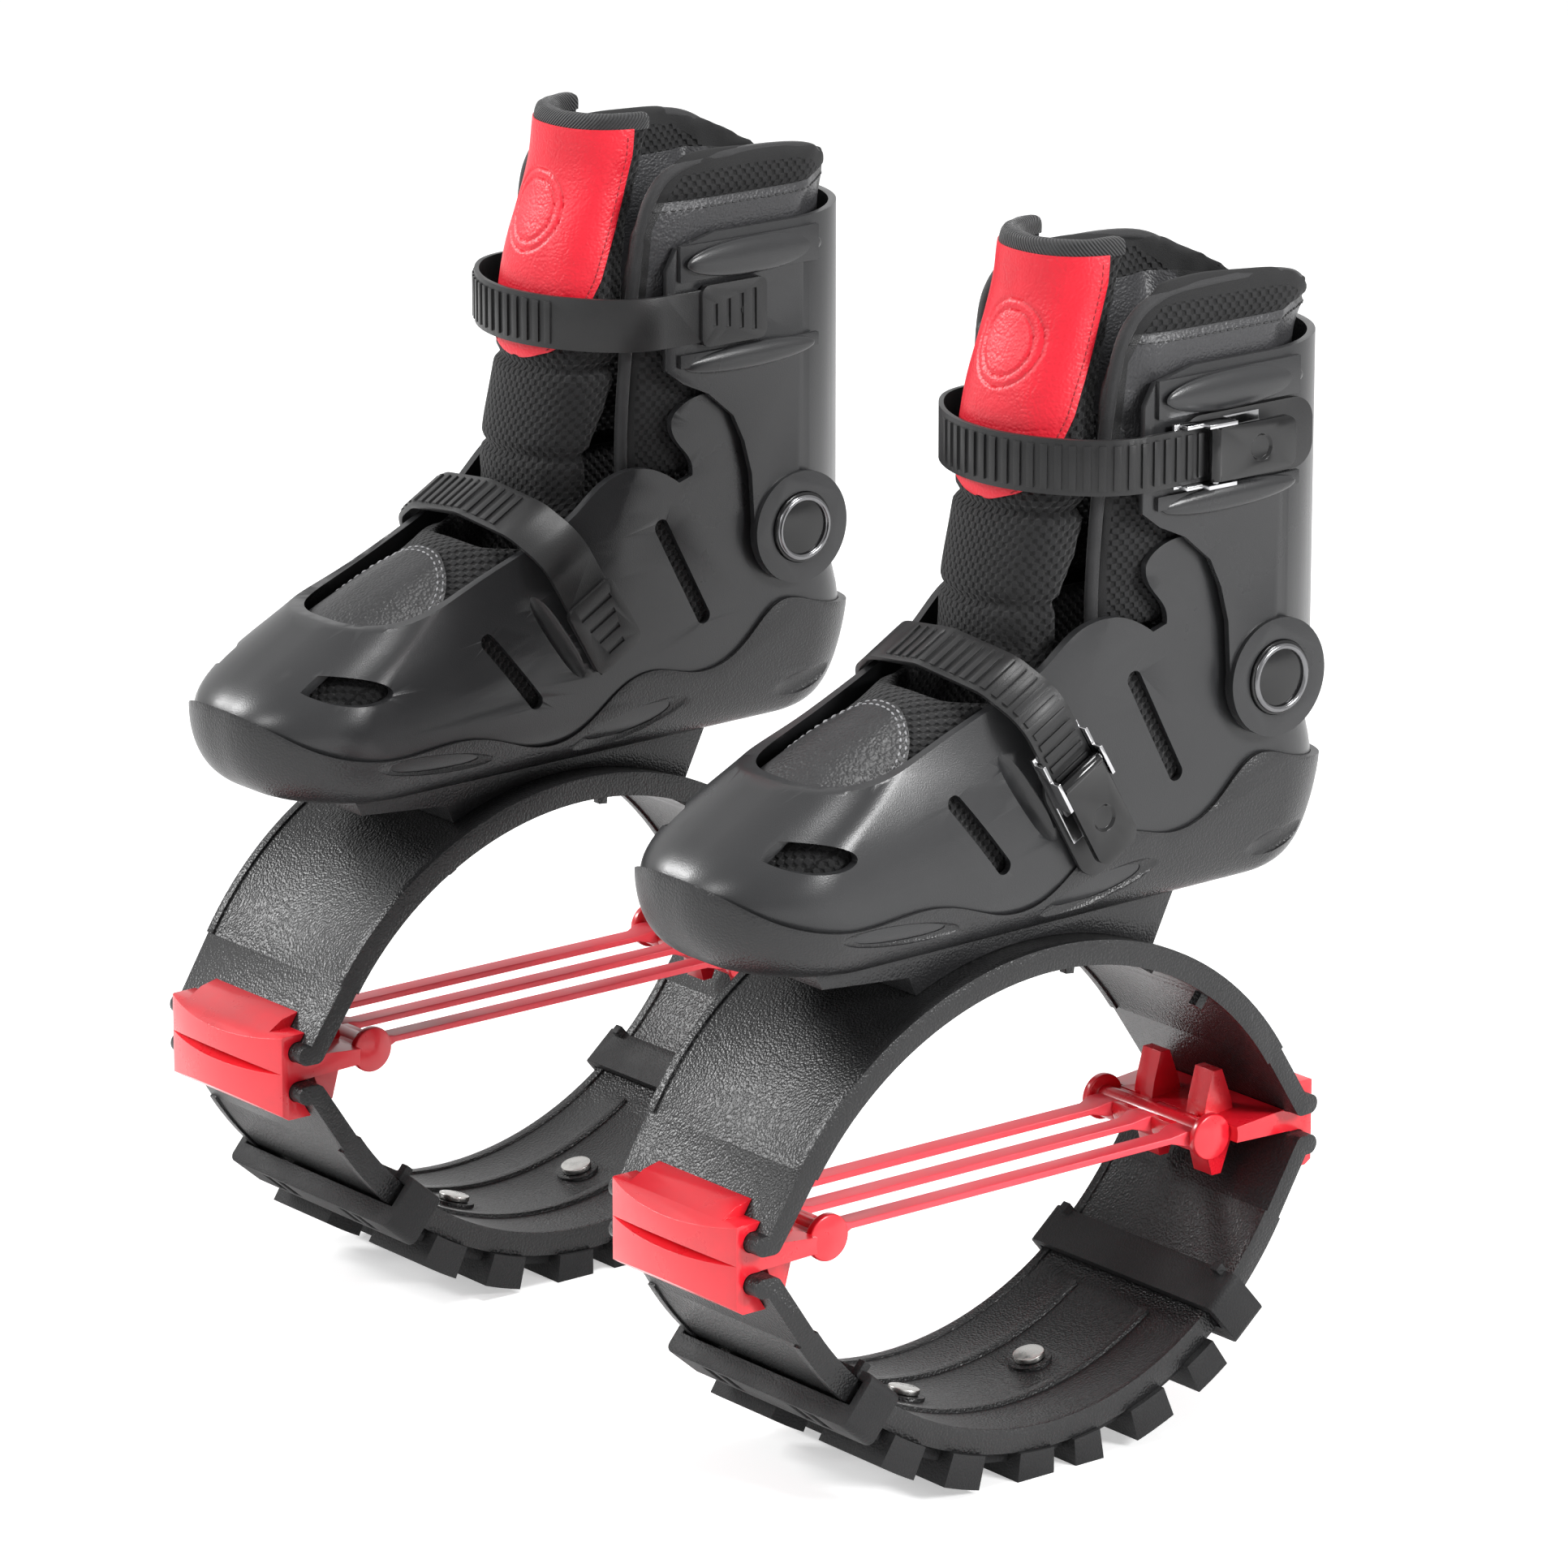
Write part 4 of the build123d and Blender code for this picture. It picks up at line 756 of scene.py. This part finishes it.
link(twill, mix_tint(twill, rib_share, painted_groove_shade, painted_rib_highlight), shader_of(twill).inputs["Base Color"])
bump(twill, ribs, 0.0003)
bend_pair(dress_pair(tape, twill))

# Collar: a foam pad round the leg, spacer mesh above a stitched seam and black leather below it.
# A rolled edge of stretch cloth runs up both front edges and over the top.

collar_line = ((27, 340), (27, 365), (26, 395), (26, 426), (30, 445), (37, 458), (48, 470), (64, 475),
               (90, 475))
rim_inset, rim_drop, heel_drop = 3.0, 3.2, 4.5
heel_middle, heel_reach, collar_radius = 109, 36, 0.041


def collar_weave(co, normal):
    """Round the leg: straight along the sides and round the heel."""
    across, behind = co.x - boot_middle, co.y - heel_middle / 1000
    if behind > 0:
        return collar_radius * math.atan2(across, behind), co.z
    return math.copysign(collar_radius * math.pi / 2 - behind, across), co.z


seam_height = 0.452
collar = soft_copy("left_collar_liner", "left_padded_collar", 0.0035, 0.0012)
fill_pad(collar, 0.0032, 0.345)
apply_modifier(collar, "SUBSURF", levels=1, render_levels=1)
leg_middle = at(0, 82, 0)


def faces_away(co, normal):
    """True on the side of the collar away from the leg."""
    return normal.x * (co.x - leg_middle.x) + normal.y * (co.y - leg_middle.y) * 0.5 > 0


press(collar, 0.0016, 0.0018, lambda co: co.z - seam_height, faces_away)


def wall_hits(piece, height, start, toward):
    """Where a level line from inside the leg enters and leaves the collar's wall."""
    inner = surface_point(piece, Vector((start.x, start.y, height)), toward)
    outer = surface_point(piece, inner[0] + toward * 0.0005, toward) if inner else None
    return (inner[0], outer[0]) if outer else None


side_starts = [(at(0, along + rim_inset, up), up - rim_drop) for along, up in collar_line]
rim = [(start, Vector((1, 0, 0)), up) for start, up in side_starts]
for angle in (80, 65, 50, 35, 20, 8, -8, -20, -35, -50, -65, -80):
    turn = math.radians(angle)
    reach = heel_middle + heel_reach * math.cos(turn)
    up = 471 - 25 * ((reach - 115) / 30 if reach > 115 else 0)
    rim.append((at(0, heel_middle, up), Vector((math.sin(turn), math.cos(turn), 0)), up - heel_drop))
rim += [(start, Vector((-1, 0, 0)), up) for start, up in reversed(side_starts)]
rolled_path, rim_places = [], []
for start, toward, up in rim:
    hits = wall_hits(collar, up / 1000, start, toward)
    if hits is None:
        continue
    upright = up < 430 and start.y < 0.045
    place = hits[0].lerp(hits[1], 0.74)
    middle = (hits[0] + hits[1]) / 2
    for one in (place, middle):
        one.y -= 0.0022 if upright else 0
        one.z += 0 if upright else 0.0016
    rolled_path.append(place)
    rim_places.append(middle)
dense_rim = []
for start, end in zip(rim_places[:-1], rim_places[1:]):
    steps = max(1, round((end - start).length / 0.0015))
    dense_rim += [start.lerp(end, step / steps) for step in range(steps)]
lay_weave(collar, collar_weave, dense_rim)
smooth(collar, 180)

collar_cloth = plain_material("mesh_leather_and_binding", mesh_black, 0.6, Specular_IOR_Level=0.32)
pits = mesh_pits(collar_cloth, 0.0044, 0.0024)
split = node(collar_cloth, "SeparateXYZ")
link(collar_cloth, weave_place(collar_cloth), split.inputs["Vector"])
below_seam = math_node(collar_cloth, "LESS_THAN", split.outputs["Y"], seam_height)
above_ankle = math_node(collar_cloth, "GREATER_THAN", split.outputs["Y"], 0.4)
leather_share = math_node(collar_cloth, "MULTIPLY", below_seam, above_ankle)
binding_share = math_node(collar_cloth, "LESS_THAN", split.outputs["Z"], 0.0068)
# The pits' darker colour is painted shade inside the open cells, as on the spacer mesh.
mesh_with_pit_shade = mix_tint(collar_cloth, pits, painted_pit_shade, mesh_black)
leather_tint = mix_tint(collar_cloth, leather_share, mesh_with_pit_shade, (0.040, 0.040, 0.0425))
link(collar_cloth, mix_tint(collar_cloth, binding_share, leather_tint, (0.012, 0.012, 0.0125)),
     shader_of(collar_cloth).inputs["Base Color"])
cloth_rough = set_inputs(node(collar_cloth, "MapRange"), To_Min=0.8, To_Max=0.4)
link(collar_cloth, leather_share, cloth_rough.inputs["Value"])
link(collar_cloth, cloth_rough.outputs["Result"], shader_of(collar_cloth).inputs["Roughness"])
hide_pebbles = pebble_height(collar_cloth, 0.0014, 0.9, weave_place)
hide_height = math_node(collar_cloth, "MULTIPLY", hide_pebbles, -0.22)
knit = set_inputs(node(collar_cloth, "TexNoise"), Scale=2600, Detail=2)
link(collar_cloth, weave_place(collar_cloth), knit.inputs["Vector"])
relief = pits
for share, height in ((leather_share, hide_height),
                      (binding_share, math_node(collar_cloth, "MULTIPLY", knit.outputs["Fac"], 0.2))):
    mixed = node(collar_cloth, "Mix", data_type="FLOAT")
    for socket, source in zip((mixed.inputs[0], mixed.inputs[2], mixed.inputs[3]), (share, relief, height)):
        link(collar_cloth, source, socket)
    relief = mixed.outputs[0]
bump(collar_cloth, relief, 0.0011)


def rolled_tube(name, places, radius):
    """A round tube of cloth along a smooth line."""
    line = bpy.data.curves.new(name, "CURVE")
    line.dimensions = "3D"
    line.bevel_depth = radius
    line.bevel_resolution = 5
    line.use_fill_caps = True
    spline = line.splines.new("NURBS")
    spline.points.add(len(places) - 1)
    for point, place in zip(spline.points, places):
        point.co = (*place, 1)
    spline.order_u = 4
    spline.use_endpoint_u = True
    spline.resolution_u = 8
    tube = bpy.data.objects.new(name, line)
    bpy.context.scene.collection.objects.link(tube)
    only(tube)
    bpy.ops.object.convert(target="MESH")
    tube = bpy.context.object
    in_edit(
        tube,
        (bpy.ops.mesh.remove_doubles, {"threshold": 0.00001}),
        (bpy.ops.mesh.normals_make_consistent, {"inside": False}),
    )
    smooth(tube, 60)
    return tube


rolled_edge = rolled_tube("left_rolled_edge", rolled_path, 0.0027)
lay_weave(rolled_edge, collar_weave)
stretch_black = (0.014, 0.014, 0.015)
stretch_cloth = plain_material("black_stretch_cloth", stretch_black, 0.62, Specular_IOR_Level=0.35,
                               Sheen_Weight=0.25, Sheen_Roughness=0.4)
tone(stretch_cloth, stretch_black, 0.8, 1.3, 0.01, weave_place)
knit = set_inputs(node(stretch_cloth, "TexNoise"), Scale=2600, Detail=2)
link(stretch_cloth, weave_place(stretch_cloth), knit.inputs["Vector"])
bump(stretch_cloth, knit.outputs["Fac"], 0.0002)
bend_pair(dress_pair(rolled_edge, stretch_cloth))

thread_black = (0.012, 0.012, 0.0125)
black_thread = plain_material("black_thread", thread_black, 0.55)
tone(black_thread, thread_black, 0.7, 1.4, 0.002)
seam = []
stitch_up = (seam_height - 0.0034) * 1000
side_run, heel_round, round_middle, side_start = 78, 41, 111, 34
seam_length = 2 * side_run + heel_round * math.pi
for step in range(76):
    travelled = step / 75 * seam_length
    if travelled < side_run:
        start, toward = at(90, side_start + travelled, stitch_up), Vector((-1, 0, 0))
    elif travelled < side_run + heel_round * math.pi:
        turn = (travelled - side_run) / heel_round
        out = Vector((math.cos(turn), math.sin(turn), 0))
        start, toward = at(0, round_middle, stitch_up) + out * 0.09, -out
    else:
        start, toward = at(-90, side_start + seam_length - travelled, stitch_up), Vector((1, 0, 0))
    found = surface_point(collar, start, toward)
    if found:
        seam.append((found[0] + found[1] * 0.0002, found[1]))
row = stitch_row("left_collar_stitches", seam, 0.0030, 0.0009)
bend_pair(dress_pair(row, black_thread))
pair = dress_pair(collar, collar_cloth, ["collar_liner"])
bend_pair(pair)

# Cuff and ankle pins: the cuff is moulded from the shell's plastic and rocks on two pins.
# Each pin's broad cap is gloss black inside a dark chromed ring.

gloss_black = (0.006, 0.006, 0.0064)
cap_black = plain_material("gloss_black_plastic", gloss_black, 0.14, Specular_IOR_Level=0.38)
gloss_range(cap_black, tone(cap_black, gloss_black, 0.8, 1.4, 0.01), 0.1, 0.2)
chrome = (0.5, 0.5, 0.51)
buckle_steel = plain_material("polished_steel", chrome, 0.14, Metallic=1.0)
gloss_range(buckle_steel, tone(buckle_steel, chrome, 0.9, 1.05, 0.01), 0.1, 0.22)

cuff = joined_copy("left_cuff", "left_rocking_cuff")
soften_edges(cuff, 0.0013, segments=3)
for number, (ends, height) in enumerate(((((48, 427), (122, 426)), 16), (((49, 383), (116, 385)), 11))):
    for side in (-1, 1):
        swell = side_lens(cuff, f"left_cuff_swell_{number}_{side + 1}", side, ends, height, 3.0)
        smooth(swell, 60)
        ride_pair(dress_pair(swell, shell_plastic), "cuff")
ride_pair(dress_pair(cuff, shell_plastic, ["cuff"]), "cuff")
caps = joined_copy("left_pivot_caps", "left_ankle_caps")
soften_edges(caps, 0.0006)
ride_pair(dress_pair(caps, cap_black, ["pivot_caps"]), "boot")
cap_low, cap_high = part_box("left_pivot_caps")
cap_middle = (Vector(cap_low) + Vector(cap_high)) / 2
ring_grey = (0.16, 0.16, 0.165)
ring_steel = plain_material("dark_chromed_plastic", ring_grey, 0.2, Metallic=1.0)
gloss_range(ring_steel, tone(ring_steel, ring_grey, 0.85, 1.15, 0.01), 0.16, 0.26)
for number, outer in enumerate((cap_low[0], cap_high[0])):
    bpy.ops.mesh.primitive_torus_add(
        major_segments=72, minor_segments=10, major_radius=0.0127, minor_radius=0.0014, location=(0, 0, 0))
    ring = bpy.context.object
    ring.name = f"left_cap_ring_{number}"
    ring.data.transform(Matrix.Rotation(math.radians(90), 4, "Y"))
    ring.data.transform(Matrix.Translation((outer, cap_middle.y, cap_middle.z)))
    smooth(ring, 60)
    ride_pair(dress_pair(ring, ring_steel), "boot")

# Closures: flexible ladder straps, steel buckles on plastic plates, and dished ratchet levers.
# The straps and plates are satin black plastic, the levers gloss black.

strap_grey = (0.013, 0.013, 0.0135)
strap_black = plain_material("satin_strap_plastic", strap_grey, 0.36, Specular_IOR_Level=0.34)
gloss_range(strap_black, tone(strap_black, strap_grey, 0.85, 1.2, 0.03), 0.34, 0.46)
bump(strap_black, pebble_height(strap_black, 0.0006), -0.00003)

for part_name, material, slot_name, body, width in (
    ("cuff_ladder", strap_black, "strap_plastic", "cuff", 0.0002),
    ("cuff_plate", strap_black, "strap_plastic", "cuff", 0.0005),
    ("cuff_buckle", buckle_steel, "buckle_steel", "cuff", 0.0003),
    ("cuff_lever", cap_black, "lever_plastic", "cuff_lever", 0.0006),
    ("instep_ladder", strap_black, "strap_plastic", "boot", 0.0002),
    ("instep_plate", strap_black, "strap_plastic", "boot", 0.0005),
    ("instep_buckle", buckle_steel, "buckle_steel", "boot", 0.0003),
    ("instep_lever", cap_black, "lever_plastic", "instep_lever", 0.0006),
):
    piece = joined_copy(f"left_{part_name}", f"left_made_{part_name}")
    soften_edges(piece, width)
    ride_pair(dress_pair(piece, material, [part_name]), body)

# Studio: a white floor that keeps the soft shadow, broad lamps and the photograph's camera.
# The white behind the boots is what the camera and reflections see, and adds no light to them.

bpy.ops.mesh.primitive_grid_add(x_subdivisions=2, y_subdivisions=2, size=60, location=(0, 0, 0))
floor = bpy.context.object
floor.name = "studio_floor"
floor_white = plain_material("white_floor", (0.86, 0.86, 0.86), 0.9, Specular_IOR_Level=0.1)
rays = node(floor_white, "LightPath")
seen = math_node(floor_white, "MAXIMUM", rays.outputs["Is Camera Ray"], rays.outputs["Is Glossy Ray"])
seen = math_node(floor_white, "MAXIMUM", seen, rays.outputs["Is Transmission Ray"])
floor_glow, room_fill = 0.47, 0.28
glow = math_node(floor_white, "MULTIPLY", seen, floor_glow)
set_inputs(shader_of(floor_white), Emission_Color=(1, 1, 1, 1))
link(floor_white, glow, shader_of(floor_white).inputs["Emission Strength"])
floor.data.materials.append(floor_white)

world = bpy.data.worlds.new("white_room")
bpy.context.scene.world = world
world.use_nodes = True
room = world.node_tree.nodes["Background"]
room.inputs["Color"].default_value = (1, 1, 1, 1)
rays = world.node_tree.nodes.new("ShaderNodeLightPath")
seen = rays.outputs["Is Camera Ray"]
for kind in ("Is Glossy Ray", "Is Transmission Ray"):
    either = world.node_tree.nodes.new("ShaderNodeMath")
    either.operation = "MAXIMUM"
    world.node_tree.links.new(seen, either.inputs[0])
    world.node_tree.links.new(rays.outputs[kind], either.inputs[1])
    seen = either.outputs["Value"]
strength = world.node_tree.nodes.new("ShaderNodeMapRange")
strength.inputs["To Min"].default_value = room_fill
world.node_tree.links.new(seen, strength.inputs["Value"])
world.node_tree.links.new(strength.outputs["Result"], room.inputs["Strength"])

camera_data = bpy.data.cameras.new("photo_camera")
camera = bpy.data.objects.new("photo_camera", camera_data)
bpy.context.scene.collection.objects.link(camera)
camera_data.sensor_width = 36
camera_data.lens = 198.742
camera_data.clip_start = 0.05
azimuth, elevation = math.radians(51.517), math.radians(16.239)
back = Vector((math.sin(azimuth), -math.cos(azimuth), math.tan(elevation))).normalized()
right = Vector((math.cos(azimuth), math.sin(azimuth), 0))
up = back.cross(right)
turn = Matrix((right, up, back)).transposed().to_4x4()
camera.matrix_world = Matrix.Translation((2.644547, -2.080453, 1.215788)) @ turn
bpy.context.scene.camera = camera

for name, place, size, power in (
    ("key", (-2.3, -1.5, 1.8), 0.7, 62),
    ("front", (-0.4, -2.7, 1.9), 0.8, 28),
    ("side", (2.6, 0.9, 1.5), 0.8, 84),
    ("top", (0.3, 0.3, 2.7), 0.7, 38),
):
    lamp_data = bpy.data.lights.new(name, "AREA")
    lamp_data.size = size
    lamp_data.energy = power
    lamp = bpy.data.objects.new(name, lamp_data)
    bpy.context.scene.collection.objects.link(lamp)
    lamp.location = place
    lamp.rotation_euler = (Vector((0, 0, 0.25)) - Vector(place)).to_track_quat("-Z", "Y").to_euler()

bpy.context.scene.view_settings.view_transform = "Standard"
